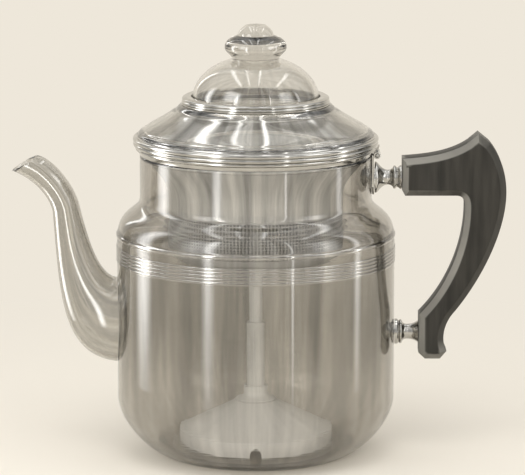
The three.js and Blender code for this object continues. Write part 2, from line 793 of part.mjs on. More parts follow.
function addBasket() {
  const outside = basketOutside();
  const lipOut = neckInside + seatWidth - seatGap;
  const stemHole = stemRadius + slipGap;
  const inside = above(parallel(outside, sheet), basketBottom + sheet);
  inside.pop();
  const profile = [
    at(stemHole, basketBottom),
    ...outside,
    at(lipOut, lipHeight),
    at(lipOut, lipHeight + sheet),
    at(outside[outside.length - 1].x - sheet * 0.6, lipHeight + sheet),
    ...inside.reverse(),
    at(stemHole, basketBottom + sheet),
    at(stemHole, basketBottom),
  ];
  const drains = [];
  for (let row = 0; row < drainRows; row++) {
    const height = basketBottom + basketCorner + drainRadius + 1 + row * drainPitch;
    drains.push(...ringOfDrains(drainsPerRow, basketRadius, height, (row % 2) / 2));
  }
  for (let ring = 1; ring <= floorDrainRings; ring++) {
    const radius = chimneyRadius + ring * floorDrainPitch;
    drains.push(...ringOfHoles(4 * (ring + 1), radius, basketBottom));
  }
  addPiece("basket", cut(turned(profile, wideFacets), drains), materials.sheetMetal);

  const chimneyFoot = basketBottom + sheet + seatGap;
  const chimneyBore = chimneyRadius - chimneyWall;
  const chimneyTop = chimneyFoot + chimneyHeight;
  const chimney = [
    at(chimneyBore, chimneyFoot),
    at(chimneyRadius + 1.4, chimneyFoot),
    at(chimneyRadius + 1.4, chimneyFoot + sheet),
    at(chimneyRadius, chimneyFoot + sheet + 0.6),
    at(chimneyRadius, chimneyTop),
    at(chimneyBore, chimneyTop),
    at(chimneyBore, chimneyFoot),
  ];
  addPiece("basket_chimney", turned(chimney, narrowFacets), materials.sheetMetal);
}

// The perforated plate that drops into the basket's flare and spreads the water over the grounds.
function addSpreader() {
  const flare = basketFlare();
  const seat = new THREE.SplineCurve(flare).getPoint(spreaderSeat);
  const edge = seat.x - sheet - slipGap;
  const plateTop = seat.y - spreaderDish + sheet;
  const bore = stemRadius + slipGap;
  const neck = bore + sheet;
  const profile = [
    at(bore, plateTop - sheet),
    at(edge - spreaderDish, plateTop - sheet),
    at(edge, seat.y),
    at(edge, seat.y + spreaderRim),
    at(edge - sheet, seat.y + spreaderRim),
    at(edge - sheet, seat.y + sheet * 0.4),
    at(edge - spreaderDish - sheet * 0.4, plateTop),
    at(neck, plateTop),
    at(neck, plateTop + 2 * sheet),
    at(bore, plateTop + 2 * sheet),
    at(bore, plateTop - sheet),
  ];
  const holes = [];
  const pitch = (edge - spreaderDish - neck) / (spreaderHoleRings + 1);
  for (let ring = 1; ring <= spreaderHoleRings; ring++) {
    holes.push(...ringOfHoles(8 * ring, neck + ring * pitch, plateTop));
  }
  addPiece("spreader", cut(turned(profile, wideFacets), holes), materials.sheetMetal);
}

// An upright arch that cuts the skirt's foot, facing out at the given turn from -Y.
function archCutter(turn) {
  const half = notchWidth / 2;
  const arch = new THREE.Shape();
  arch.moveTo(-half, skirtFoot - cutMargin);
  arch.lineTo(half, skirtFoot - cutMargin);
  arch.lineTo(half, skirtFoot + notchHeight - half);
  arch.absarc(0, skirtFoot + notchHeight - half, half, 0, Math.PI, false);
  arch.closePath();
  return new THREE.ExtrudeGeometry(arch, { depth: cutMargin * 2, bevelEnabled: false, curveSegments: 4 })
    .rotateX(Math.PI / 2)
    .translate(0, -skirtRadius + cutMargin, 0)
    .rotateZ(turn);
}

function addPump() {
  const rimLine = skirtFoot + skirtHeight;
  const outside = [
    at(skirtRadius, skirtFoot),
    at(skirtRadius, rimLine - 0.8),
    at(skirtRadius - 0.8, rimLine),
    at(coneTopRadius, coneTop),
    at(pumpBore, coneTop),
  ];
  const slope = (coneTop - rimLine) / (skirtRadius - coneTopRadius);
  const drop = sheet * Math.hypot(1, slope);
  const profile = [
    ...outside,
    at(pumpBore, coneTop - sheet),
    at(coneTopRadius - sheet * 0.3, coneTop - drop),
    at(skirtRadius - sheet, rimLine - drop + (sheet - 0.8) * slope),
    at(skirtRadius - sheet, skirtFoot),
    at(skirtRadius, skirtFoot),
  ];
  const notches = [];
  for (let i = 0; i < notchCount; i++) {
    notches.push(archCutter((i / notchCount) * Math.PI * 2));
  }
  addPiece("pump_base", cut(turned(profile, wideFacets), notches), materials.sheetMetal);

  const collarFoot = coneTop + seatGap;
  const collarOut = pumpBore + collarWall;
  const collar = [
    at(pumpBore, collarFoot),
    at(coneTopRadius, collarFoot),
    at(coneTopRadius, collarFoot + collarStep * 0.5),
    at(collarOut + 1.4, collarFoot + collarStep * 1.6),
    at(collarOut, collarFoot + collarHeight * 0.45),
    at(collarOut, collarFoot + collarHeight),
    at(pumpBore, collarFoot + collarHeight),
    at(pumpBore, collarFoot),
  ];
  addPiece("pump_collar", turned(collar, narrowFacets + 8), materials.sheetMetal);

  const sleeveFoot = coneTop - sheet - 1;
  const sleeve = [
    at(sleeveBore, sleeveFoot),
    at(sleeveRadius, sleeveFoot),
    at(sleeveRadius, sleeveTop - 0.6),
    at(sleeveRadius - 0.6, sleeveTop),
    at(sleeveBore, sleeveTop),
    at(sleeveBore, sleeveFoot),
  ];
  addPiece("stem_sleeve", turned(sleeve, narrowFacets), materials.sheetMetal);

  const stemBore = stemRadius - stemWall;
  const stem = band(stemBore, stemRadius, stemFoot, stemTop);
  addPiece("stem_tube", turned(stem, narrowFacets), materials.metal);
}

addPot();
addSpout();
addSockets();
addBolt("upper", neckInside, gripFace + insertDepth + insertLength, upperSocketHeight);
addBolt("lower", bodyRadius - glassWall, gripFootFace + insertDepth + insertLength, lowerSocketHeight);
addInsert("upper", gripFace, upperSocketHeight);
addInsert("lower", gripFootFace, lowerSocketHeight);
addGrip();
addHinge();
addLid();
addDome();
addBasket();
addSpreader();
addPump();

export default part;
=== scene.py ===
"""The looks of the coffee percolator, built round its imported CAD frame.

Metres in Blender, with sizes written in millimetres and turned into metres by mm(). The pot's axis is Z, the
spout points to -X and the grip to +X. Turned pieces are made from profiles of (radius, height) points.
"""

import math

import bmesh
import bpy
from mathutils import Matrix, Vector


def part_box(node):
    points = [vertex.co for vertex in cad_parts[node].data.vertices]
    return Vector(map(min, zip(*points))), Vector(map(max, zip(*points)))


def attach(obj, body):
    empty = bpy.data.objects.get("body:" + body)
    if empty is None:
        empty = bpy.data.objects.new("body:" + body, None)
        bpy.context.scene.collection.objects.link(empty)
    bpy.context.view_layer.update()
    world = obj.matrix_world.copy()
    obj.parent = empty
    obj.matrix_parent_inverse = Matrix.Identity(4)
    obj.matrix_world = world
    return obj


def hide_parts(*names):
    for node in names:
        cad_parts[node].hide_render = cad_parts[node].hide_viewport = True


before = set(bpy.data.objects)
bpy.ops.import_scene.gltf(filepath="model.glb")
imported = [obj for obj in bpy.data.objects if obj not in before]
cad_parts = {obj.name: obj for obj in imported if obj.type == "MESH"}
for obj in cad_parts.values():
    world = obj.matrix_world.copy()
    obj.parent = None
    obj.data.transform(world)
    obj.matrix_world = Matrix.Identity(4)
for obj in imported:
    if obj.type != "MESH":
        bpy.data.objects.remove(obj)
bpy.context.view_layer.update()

# Sizes shared with the solids, in millimetres
BODY_R = 72.0
NECK_R = 60.0
FOOT_R = 44.0
WALL = 2.2
FLOOR = 5.0
FOOT_TOP = 31.0
SHOULDER_LOW = 113.0
NECK_LOW = 136.0
NECK_TOP = 158.0
UPPER_Z = 145.4
LOWER_Z = 64.0
GRIP_FACE = 75.6
FOOT_FACE = 84.6
GRIP_HALF = 9.0
BOLT_R = 2.0
BOLT_HOLE = 2.3
INSERT_HOLE = 3.9
INSERT_END = 9.5
RIM_LOW = 158.3
RIM_TOP = 168.0
LEDGE_Z = 183.8
LEDGE_R = 38.8
LEDGE_HOLE = 33.5
COVER_WALL = 2.0
DOME_FOOT = 185.2
DOME_R = 32.6
DOME_H = 22.0
DOME_WALL = 2.0
DOME_NECK_R = 11.9
HINGE_X = 62.6
HINGE_Z = 157.8
KNUCKLE_R = 1.85
STRAP = 1.0
LEAF_HALF = 3.0
SHEET = 0.9
STEM_HOLE = 3.95
GAP = 0.3  # between pieces that sit on each other

ROUND = 160  # segments round a wide turned piece
SMALL = 64  # segments round a narrow one


def mm(value):
    return value * 0.001


# ---- Profiles and mesh building


def cubic(a, b, c, d, steps):
    """Points of a cubic curve from a to d."""
    points = []
    for i in range(steps + 1):
        t = i / steps
        s = 1 - t
        weights = (s * s * s, 3 * s * s * t, 3 * s * t * t, t * t * t)
        points.append(tuple(sum(w * p[k] for w, p in zip(weights, (a, b, c, d))) for k in range(2)))
    return points


def bend(a, d, first, second, steps):
    """A cubic curve whose steering points are shares of the run and rise from a to d."""
    run, rise = d[0] - a[0], d[1] - a[1]
    b = (a[0] + run * first[0], a[1] + rise * first[1])
    c = (a[0] + run * second[0], a[1] + rise * second[1])
    return cubic(a, b, c, d, steps)


def on(start, *curves):
    """Cubic curves in a row after a start point that they leave out, each given as (b, c, d, steps)."""
    points = []
    for b, c, d, steps in curves:
        points += cubic(start, b, c, d, steps)[1:]
        start = d
    return points


def polar(radius, turn):
    """The point at a radius and an angle in radians."""
    return radius * math.cos(turn), radius * math.sin(turn)


def turns(count):
    """Equal steps round a full turn, in radians."""
    return [2 * math.pi * k / count for k in range(count)]


def arc(centre, radius, start, end, steps, tall=None):
    """Points of a circle's arc, or an ellipse's, angles in degrees from the +radius direction towards +height."""
    points = []
    for i in range(steps + 1):
        turn = math.radians(start + (end - start) * i / steps)
        points.append((centre[0] + radius * math.cos(turn), centre[1] + (tall or radius) * math.sin(turn)))
    return points


def eased(points, radius, steps=3):
    """A closed profile with its corners rounded, each by at most the radius or a third of its edges."""
    result = []
    count = len(points)
    for i in range(count):
        before, here, after = (Vector(points[k % count]) for k in (i - 1, i, i + 1))
        back, ahead = before - here, after - here
        reach_back = min(radius, back.length / 3)
        reach_ahead = min(radius, ahead.length / 3)
        if here.x < 1e-6 or min(reach_back, reach_ahead) < 1e-6:
            result.append(tuple(here))
            continue
        start = here + back.normalized() * reach_back
        end = here + ahead.normalized() * reach_ahead
        for k in range(steps + 1):
            t = k / steps
            point = start * (1 - t) ** 2 + here * 2 * t * (1 - t) + end * t * t
            result.append(tuple(point))
    return result


def offset(points, distance):
    """An open profile moved to the left of the way it runs."""
    result = []
    for i, point in enumerate(points):
        before = points[max(i - 1, 0)]
        after = points[min(i + 1, len(points) - 1)]
        run = Vector((after[0] - before[0], after[1] - before[1])).normalized()
        result.append((point[0] - run.y * distance, point[1] + run.x * distance))
    return result


def from_height(points, height):
    """The part of a rising profile above a height, starting exactly on it."""
    for i in range(1, len(points)):
        if points[i][1] > height:
            low, high = points[i - 1], points[i]
            share = min(max((height - low[1]) / (high[1] - low[1]), 0), 1)
            return [(low[0] + (high[0] - low[0]) * share, height)] + points[i:]
    return points


def held(profile):
    """The closed profile with extra points near the ends of its long straight runs, so that they shade flat."""
    result = []
    for i, point in enumerate(profile):
        result.append(point)
        here, after = Vector(point), Vector(profile[(i + 1) % len(profile)])
        length = (after - here).length
        if length > 1.6 and max(here.x, after.x) > 1e-6:
            near = min(0.35, length * 0.15)
            steps = max(1, round(length / 8))
            shares = [near / length, *[k / steps for k in range(1, steps)], 1 - near / length]
            result += [tuple(here.lerp(after, share)) for share in shares]
    return result


def bridge(mesh, a, b):
    """Faces between two loops of as many vertices, or between a loop and a single vertex."""
    count = max(len(a), len(b))
    for k in range(count):
        n = (k + 1) % count
        if len(a) == 1:
            mesh.faces.new((a[0], b[n], b[k]))
        elif len(b) == 1:
            mesh.faces.new((a[k], a[n], b[0]))
        else:
            mesh.faces.new((a[k], a[n], b[n], b[k]))


def turn_into(mesh, profile, segments):
    """Adds a closed profile turned about the Z axis. Points on the axis become poles."""
    rings = []
    for radius, height in held(profile):
        if radius < 1e-6:
            rings.append([mesh.verts.new((0, 0, mm(height)))])
            continue
        rings.append([mesh.verts.new((*polar(mm(radius), turn), mm(height))) for turn in turns(segments)])
    for i, ring in enumerate(rings):
        after = rings[(i + 1) % len(rings)]
        if len(ring) > 1 or len(after) > 1:
            bridge(mesh, ring, after)


def prism_into(mesh, *layers):
    """Adds a closed block between two loops of points."""
    a, b = ([mesh.verts.new(point) for point in layer] for layer in layers)
    mesh.faces.new(a)
    mesh.faces.new(b)
    bridge(mesh, a, b)


def mark_sharp(mesh, sharp):
    """Smooth shading, with edges over the angle kept sharp."""
    limit = math.radians(sharp)
    for face in mesh.faces:
        face.smooth = True
    for edge in mesh.edges:
        edge.smooth = not (len(edge.link_faces) == 2 and edge.calc_face_angle(0) > limit)


def added(name, data):
    """A new object in the scene."""
    obj = bpy.data.objects.new(name, data)
    bpy.context.scene.collection.objects.link(obj)
    return obj


def finish_mesh(mesh, name, sharp=32):
    """A new object of the mesh."""
    bmesh.ops.recalc_face_normals(mesh, faces=mesh.faces[:])
    mark_sharp(mesh, sharp)
    data = bpy.data.meshes.new(name)
    mesh.to_mesh(data)
    mesh.free()
    return added(name, data)


def piece(obj, material, body, slot, *nodes):
    """Gives a new object its material and the body it rides on, and hides the CAD nodes it stands for; its slot is
    not used.
    """
    obj.data.materials.clear()
    obj.data.materials.append(material)
    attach(obj, body)
    if nodes:
        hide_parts(*nodes)


def turned(name, profile, segments=ROUND, along_x=None, sharp=32):
    """A turned object about Z, or about the line along X at a height."""
    mesh = bmesh.new()
    turn_into(mesh, profile, segments)
    if along_x is not None:
        lay = Matrix.Translation((0, 0, mm(along_x))) @ Matrix.Rotation(math.pi / 2, 4, "Y")
        bmesh.ops.transform(mesh, matrix=lay, verts=mesh.verts[:])
    return finish_mesh(mesh, name, sharp)


def cut(obj, cutters, sharp=32):
    """Takes the cutters out of the object and removes them."""
    bpy.context.view_layer.objects.active = obj
    for cutter in cutters:
        change = obj.modifiers.new("cut", "BOOLEAN")
        change.operation = "DIFFERENCE"
        change.solver = "EXACT"
        change.object = cutter
        bpy.ops.object.modifier_apply(modifier=change.name)
        bpy.data.objects.remove(cutter)
    mesh = bmesh.new()
    mesh.from_mesh(obj.data)
    mark_sharp(mesh, sharp)
    mesh.to_mesh(obj.data)
    mesh.free()


def rod(radius, start, end, height):
    return turned("rod", [(0, start), (radius, start), (radius, end), (0, end)], SMALL, along_x=height)


def loft(name, rings, closed_ends=False, sharp=40):
    """A surface through rings of points. The last ring joins the first unless the ends are closed."""
    mesh = bmesh.new()
    rows = [[mesh.verts.new(point) for point in ring] for ring in rings]
    for a, b in zip(rows, rows[1:]):
        bridge(mesh, a, b)
    if closed_ends:
        mesh.faces.new(rows[0])
        mesh.faces.new(rows[-1])
    else:
        bridge(mesh, rows[-1], rows[0])
    return finish_mesh(mesh, name, sharp)


# ---- Node trees and materials


class Nodes:
    """A small helper round one node tree."""

    def __init__(self, tree):
        self.tree = tree

    def feed(self, socket, value):
        """Links a socket to the one given, or sets it to the value."""
        if isinstance(value, bpy.types.NodeSocket):
            self.tree.links.new(value, socket)
        else:
            socket.default_value = value

    def node(self, kind, inputs=None, **settings):
        made = self.tree.nodes.new(kind)
        for key, value in settings.items():
            setattr(made, key, value)
        for key, value in (inputs or {}).items():
            self.feed(made.inputs[key], value)
        return made

    def math(self, operation, a, b=0.0):
        return self.node("ShaderNodeMath", {0: a, 1: b}, operation=operation).outputs[0]

    def times(self, a, b):
        return self.math("MULTIPLY", a, b)

    def plus(self, a, b):
        return self.math("ADD", a, b)

    def most(self, a, b):
        return self.math("MAXIMUM", a, b)

    def split(self, vector):
        return self.node("ShaderNodeSeparateXYZ", {0: vector}).outputs

    def level(self, value, start, end, low=0.0, high=1.0, **settings):
        """A value that goes from low to high as the given one goes from start to end."""
        inputs = {"Value": value, "From Min": start, "From Max": end, "To Min": low, "To Max": high}
        return self.node("ShaderNodeMapRange", inputs, **settings).outputs["Result"]


class Shader(Nodes):
    """A new material and its node tree."""

    def __init__(self, name):
        self.material = bpy.data.materials.new(name)
        self.material.use_nodes = True
        super().__init__(self.material.node_tree)
        self.principled = self.tree.nodes["Principled BSDF"]
        self.output = self.tree.nodes["Material Output"]
        self.position = self.node("ShaderNodeTexCoord").outputs["Object"]

    def set(self, **values):
        for key, value in values.items():
            self.feed(self.principled.inputs[key.replace("_", " ")], value)

    def cover(self, share, other):
        """Mixes another shader into the surface."""
        inputs = {0: share, 1: self.principled.outputs[0], 2: other.outputs[0]}
        self.feed(self.output.inputs["Surface"], self.node("ShaderNodeMixShader", inputs).outputs[0])

    def noise(self, vector, scale, detail=3.0, rough=0.5):
        inputs = {"Vector": vector, "Scale": scale, "Detail": detail, "Roughness": rough}
        return self.node("ShaderNodeTexNoise", inputs).outputs["Fac"]

    def stretched(self, *sides, detail=3.0, rough=0.5):
        """Noise over two or three values, each with its own scale."""
        inputs = {i: self.times(value, scale) for i, (value, scale) in enumerate(sides)}
        return self.noise(self.node("ShaderNodeCombineXYZ", inputs).outputs[0], 1.0, detail, rough)

    def mixed(self, share, a, b):
        made = self.node("ShaderNodeMix", data_type="RGBA")
        for key, value in {"Factor": share, "A": a, "B": b}.items():
            socket = next(s for s in made.inputs if s.name == key and s.enabled)
            self.feed(socket, (*value, 1) if isinstance(value, tuple) else value)
        return next(s for s in made.outputs if s.enabled)

    def bump(self, height, strength, distance):
        inputs = {"Height": height, "Strength": strength, "Distance": distance}
        self.set(Normal=self.node("ShaderNodeBump", inputs).outputs["Normal"])

    def turning(self, across=None):
        """(radius, place along, turn) round the piece's axis: Z, or the line along X at the given height."""
        x, y, z = self.split(self.position)
        if across is None:
            first, second, along = x, y, z
        else:
            first, second, along = y, self.math("SUBTRACT", z, mm(across)), x
        squares = self.plus(self.times(first, first), self.times(second, second))
        return self.math("SQRT", squares), along, self.math("ARCTAN2", second, first)


def dimmed(colour, share):
    return tuple(c * share for c in colour)


def polished_metal(name, colour, roughness=(0.06, 0.2), painted_streak_depth=0.18, fine=9.0, **more):
    """Bright turned metal: fine turning marks round its axis, painted reflection streaks along it that darken its
    colour in bands, and small wear.

    More can be across, for an axis along X at that height, marks for their depth in metres, metallic, and
    stained, the height below which it is darkened by coffee.
    """
    shader = Shader(name)
    radius, along, turn = shader.turning(more.get("across"))
    marks = shader.stretched((radius, 1500.0), (along, 1500.0), detail=2.0)
    painted_streaks = shader.stretched((turn, fine), (along, 8.0), detail=5.0, rough=0.65)
    wear = shader.noise(shader.position, 90.0, 5.0, 0.65)
    # Painted reflection: light and dark streaks round the axis in the colour stand in for reflected light and
    # shade.
    tone = shader.mixed(shader.level(painted_streaks, 0.3, 0.7), dimmed(colour, 1 - painted_streak_depth), colour)
    if "stained" in more:
        edge = more["stained"]
        tone = shader.mixed(shader.level(along, mm(edge - 1), mm(edge + 1), 0.9, 0.0), tone, dimmed(colour, 0.48))
    uneven = shader.plus(shader.times(wear, 0.6), shader.times(marks, 0.4))
    shader.set(
        Base_Color=shader.mixed(shader.level(wear, 0.55, 0.8, 0.0, 0.35), tone, dimmed(colour, 0.6)),
        Metallic=more.get("metallic", 1.0),
        Roughness=shader.level(uneven, 0.3, 0.7, *roughness),
    )
    shader.bump(marks, 0.35, more.get("marks", 0.00002))
    return shader.material


def silvered_glass(name, tint, mirror, smoke, painted_streak_contrast=0.14, lanes=11.0, spread=0.5, **more):
    """Glass with a faint mirror finish, stronger in streaks up its wall, where its tint is also lighter and darker
    in turn as a painted reflection, with faint smears and a smooth wave.

    More can be lane, the attribute that the painted streaks follow, ends, the darkest and lightest tint of the
    painted streaks up the neck and at the foot, and rings, zones of height where the mirror is stronger.
    """
    shader = Shader(name)
    _, along, turn = shader.turning()
    if "lane" in more:
        lane = shader.node("ShaderNodeAttribute", attribute_name=more["lane"])
        streak_noise = shader.noise(lane.outputs["Vector"], 1.0, 4.0, 0.6)
    else:
        streak_noise = shader.stretched((turn, lanes), (along, 5.0), detail=4.0, rough=0.6)
    silver = shader.level(streak_noise, 0.3, 0.7, mirror * (1 - spread), mirror * (1 + spread))
    for low, high in more.get("rings", ()):
        above = shader.level(along, mm(low - 0.8), mm(low))
        below = shader.level(along, mm(high), mm(high + 0.8), 1.0, 0.0)
        silver = shader.plus(silver, shader.times(shader.times(above, below), 0.26))
    # Painted reflection: the same streaks make the tint lighter and darker in turn, as reflected light would.
    painted_streak_lines = shader.level(streak_noise, 0.3, 0.7)
    tone = shader.mixed(painted_streak_lines, dimmed(tint, 1 - painted_streak_contrast), tint)
    if "ends" in more:
        neck = shader.level(along, mm(80), mm(135))
        foot = shader.level(along, mm(22), mm(60), 1.0, 0.0)
        tone = shader.mixed(shader.most(neck, foot), tone, shader.mixed(painted_streak_lines, *more["ends"]))
    smear = shader.noise(shader.position, 160.0, 4.0, 0.6)
    shader.set(
        Base_Color=tone,
        Metallic=silver,
        Roughness=shader.level(smear, 0.4, 0.7, 0.01, 0.035),
        Transmission_Weight=1.0,
        IOR=1.5,
    )
    shader.bump(shader.noise(shader.position, 30.0, 1.0), 0.08, 0.0002)
    shadow = shader.node("ShaderNodeLightPath").outputs["Is Shadow Ray"]
    shader.cover(shadow, shader.node("ShaderNodeBsdfTransparent"))
    haze = shader.node("ShaderNodeVolumeAbsorption", {"Color": SMOKE, "Density": smoke})
    shader.feed(shader.output.inputs["Volume"], haze.outputs[0])
    return shader.material


def black_wood(name):
    """Ebonised wood under lacquer: grain along the grip, pores, and a painted highlight in grey on the chamfers
    that face up, inward and at the foot.
    """
    shader = Shader(name)
    x, y, z = shader.split(shader.position)
    grain = shader.stretched((x, 260.0), (y, 260.0), (z, 22.0), detail=6.0, rough=0.6)
    pores = shader.stretched((x, 1500.0), (y, 1500.0), (z, 110.0), detail=3.0, rough=0.6)
    cloud = shader.noise(shader.position, 28.0, 3.0)
    base = shader.mixed(shader.level(grain, 0.3, 0.75), (0.018, 0.017, 0.0145), (0.042, 0.039, 0.033))
    lifted = shader.mixed(shader.level(cloud, 0.45, 0.75, 0.0, 0.6), base, (0.04, 0.037, 0.031))

    # Painted highlight: the chamfers that face up and inward, and those on the foot, are made grey as if lit; the
    # outward ones stay black.
    outward, across, upward = shader.split(shader.node("ShaderNodeTexCoord").outputs["Normal"])
    sideways = shader.math("ABSOLUTE", across)
    bevel = shader.times(shader.level(sideways, 0.35, 0.55), shader.level(sideways, 0.8, 0.96, 1.0, 0.0))
    lit_facing = shader.math("SUBTRACT", shader.times(upward, 0.6), outward)
    at_foot = shader.level(z, mm(56), mm(62), 0.8, 0.0)
    lit_side_mask = shader.most(shader.level(lit_facing, -0.2, 0.25, 0.12, 1.0), at_foot)
    painted_chamfer_highlight = shader.times(shader.times(bevel, lit_side_mask), shader.level(cloud, 0.35, 0.65, 0.65, 1.0))
    tone = shader.mixed(painted_chamfer_highlight, lifted, (0.23, 0.22, 0.195))

    edge = shader.node("ShaderNodeNewGeometry").outputs["Pointiness"]
    worn = shader.times(shader.level(edge, 0.52, 0.6), shader.level(grain, 0.3, 0.7, 0.3, 1.0))
    uneven = shader.plus(shader.times(grain, 0.5), shader.times(cloud, 0.5))
    shader.set(
        Base_Color=shader.mixed(worn, tone, (0.24, 0.23, 0.2)),
        Coat_Weight=0.07,
        Coat_Roughness=0.16,
        Roughness=shader.level(uneven, 0.3, 0.7, 0.36, 0.54),
        Specular_IOR_Level=0.1,
    )
    shader.bump(shader.plus(grain, shader.times(pores, 0.6)), 0.25, 0.00012)
    return shader.material


def soft_rubber(name):
    shader = Shader(name)
    speck = shader.noise(shader.position, 900.0, 4.0, 0.7)
    cloud = shader.noise(shader.position, 120.0, 2.0)
    shader.set(
        Base_Color=shader.mixed(cloud, (0.10, 0.078, 0.056), (0.17, 0.135, 0.1)),
        Roughness=shader.level(speck, 0.3, 0.7, 0.7, 0.92),
    )
    shader.bump(speck, 0.3, 0.00005)
    return shader.material


CHROME = (0.55, 0.54, 0.51)
SMOKE = (0.68, 0.665, 0.63, 1)

METAL = polished_metal("polished_metal", CHROME)
METAL_UPPER = polished_metal("polished_metal_upper", CHROME, across=UPPER_Z)
METAL_LOWER = polished_metal("polished_metal_lower", CHROME, across=LOWER_Z)
STEEL = polished_metal("fastener_metal", (0.56, 0.55, 0.52), (0.22, 0.4))
BRASS = polished_metal("insert_brass", (0.66, 0.47, 0.2), (0.2, 0.4))
# The basket, spreader and pump below carry painted reflection streaks of their own depth, the basket's deepest.
SHEET_METAL = polished_metal(
    "basket_metal", (0.95, 0.94, 0.9), (0.3, 0.46), 0.58, 8.0, marks=0.00003, metallic=0.12, stained=128.0
)
SPREADER_METAL = polished_metal("spreader_metal", (0.8, 0.79, 0.75), (0.3, 0.46), 0.12, metallic=0.5)
PUMP_METAL = polished_metal("pump_metal", (0.98, 0.97, 0.94), (0.3, 0.42), 0.2, 3.5, metallic=0.03)
POT_GLASS = silvered_glass(
    "pot_glass",
    (0.79, 0.775, 0.742),
    mirror=0.045,
    smoke=210.0,
    painted_streak_contrast=0.52,
    lanes=6.0,
    ends=((0.62, 0.61, 0.595), (0.97, 0.955, 0.93)),
    rings=((102.4, 110.2), (115.4, 117.0)),
)
SPOUT_GLASS = silvered_glass("spout_glass", (0.99, 0.98, 0.95), 0.12, 150.0, painted_streak_contrast=0.42, lane="lane")
LID_GLASS = silvered_glass("lid_glass", (0.96, 0.95, 0.92), 0.2, 50.0, 0.4, 5.0, spread=0.9)
DOME_GLASS = silvered_glass("dome_glass", (0.945, 0.935, 0.91), 0.08, 26.0)
WOOD = black_wood("grip_wood")
RUBBER = soft_rubber("seal_rubber")


# ---- Pot


def pot_smooth():
    """The pot's outside without its turned lines, in two parts: below the body and above it."""
    corner = BODY_R - FOOT_R
    bottom = cubic((FOOT_R, 0), (FOOT_R + corner * 0.36, 0), (BODY_R, FOOT_TOP * 0.55), (BODY_R, FOOT_TOP), 26)
    step, rise = BODY_R - NECK_R, NECK_LOW - SHOULDER_LOW
    x, z = NECK_R + step * 0.44, SHOULDER_LOW + rise * 0.66
    start = (BODY_R, SHOULDER_LOW)
    shoulder = ((BODY_R, SHOULDER_LOW + rise * 0.4), (x + step * 0.32, z - rise * 0.13), (x, z), 18)
    throat = ((x - step * 0.26, z + rise * 0.11), (NECK_R, z + rise * 0.16), (NECK_R, NECK_LOW), 12)
    return bottom, [start, *on(start, shoulder, throat)]


def bead(radius, height, width, rise, steps=6):
    """A small half-round ridge on an upright wall."""
    points = []
    for i in range(steps + 1):
        turn = math.pi * i / steps
        points.append((radius + rise * math.sin(turn), height - width / 2 * math.cos(turn)))
    return points


def make_pot():
    bottom, top = pot_smooth()
    outside = list(bottom)
    for k in range(5):
        outside += bead(BODY_R, 102.9 + 1.75 * k, 1.5, 0.4)
    outside += [(BODY_R, SHOULDER_LOW)] + bead(BODY_R - 0.12, 116.2, 2.2, 0.5)
    outside += [p for p in top if p[1] > 117.6]
    outside += [(NECK_R, NECK_TOP - 0.5), (NECK_R - 0.4, NECK_TOP)]
    smooth = bottom + [(BODY_R, 60.0), (BODY_R, 90.0)] + top + [(NECK_R, NECK_TOP - 3)]
    inside = from_height(offset(smooth, WALL), FLOOR)
    mouth = [(1.0, 0), (0.8, 0.25), (0.8, 1.8), (0, 1.8)]
    mouth = [(NECK_R - WALL + out, NECK_TOP - down) for out, down in mouth]
    floor = [(inside[0][0] - 3, FLOOR), (0, FLOOR)]
    profile = [(0, 0), (30, 0)] + outside + mouth + inside[::-1] + floor
    pot = turned("pot_glass_body", profile, 192, sharp=48)
    cutters = [spout_plug()]
    for wall, height in ((NECK_R, UPPER_Z), (BODY_R, LOWER_Z)):
        cutters.append(rod(BOLT_HOLE, wall - 8, wall + 6, height))
    cut(pot, cutters, sharp=48)
    piece(pot, POT_GLASS, "pot", "pot_glass", "pot_body")


# ---- Spout

SPOUT_WALL = 1.8
ROOT_Z = 70.4
ROOT_HIGH = 22.2
ROOT_WIDE = 15.0
THROAT = (BODY_R + 26.3, ROOT_Z + 58.6)
THROAT_R = 7.2
MOUTH = (BODY_R + 47.2, ROOT_Z + 82.4)
MOUTH_R = 7.8
# The lines along the spout are painted reflection streaks in its glass tint.
LANE_RADIUS = 4.5  # of the circle in the noise that the lines along the spout are drawn from
LANE_CHANGE = 5  # of the place in the noise, for each metre of height


def spout_edge(side):
    """One edge of the spout as two curves of (distance out, height): side 1 is the outer, -1 the inner."""

    def end(middle, reach, slope):
        out, up = polar(side * reach, math.radians(-slope))
        return (middle[0] + out, middle[1] + up)

    root = end((BODY_R, ROOT_Z), ROOT_HIGH, 90)
    throat = end(THROAT, THROAT_R, 17)
    mouth = end(MOUTH, MOUTH_R, 30)
    if side > 0:
        lower, upper = ((0.9, 0.04), (0.9, 0.45)), ((0.06, 0.37), (0.45, 0.8))
    else:
        lower, upper = ((0.46, 0.02), (0.75, 0.45)), ((0.1, 0.35), (0.58, 0.91))
    return bend(root, throat, *lower, 200), bend(throat, mouth, *upper, 200)


def part_way(points, share):
    place = min(max(share, 0), 1) * (len(points) - 1)
    i = min(int(place), len(points) - 2)
    rest = place - i
    return Vector([points[i][k] * (1 - rest) + points[i + 1][k] * rest for k in range(2)])


def spout_ring(upper, share, inset, sides, outer, inner):
    """Points, in metres, of the cross-section at a share of the way along the spout's lower or upper part."""
    if upper:
        far, near = part_way(outer[1], share), part_way(inner[1], share)
        wide = THROAT_R + (MOUTH_R - THROAT_R) * share
    else:
        far, near = part_way(outer[0], share**0.85), part_way(inner[0], share**1.15)
        wide = THROAT_R + (ROOT_WIDE - THROAT_R) * ((1 + math.cos(math.pi * share)) / 2) ** 1.3
    across, middle = far - near, (far + near) / 2
    tall = across.length / 2 - inset
    angle = math.atan2(across.y, across.x)
    ring = []
    for turn in turns(sides):
        out, up = polar(math.cos(turn) * tall, angle)
        ring.append(Vector((-mm(middle.x + out), mm(math.sin(turn) * (wide - inset)), mm(middle.y + up))))
    return ring


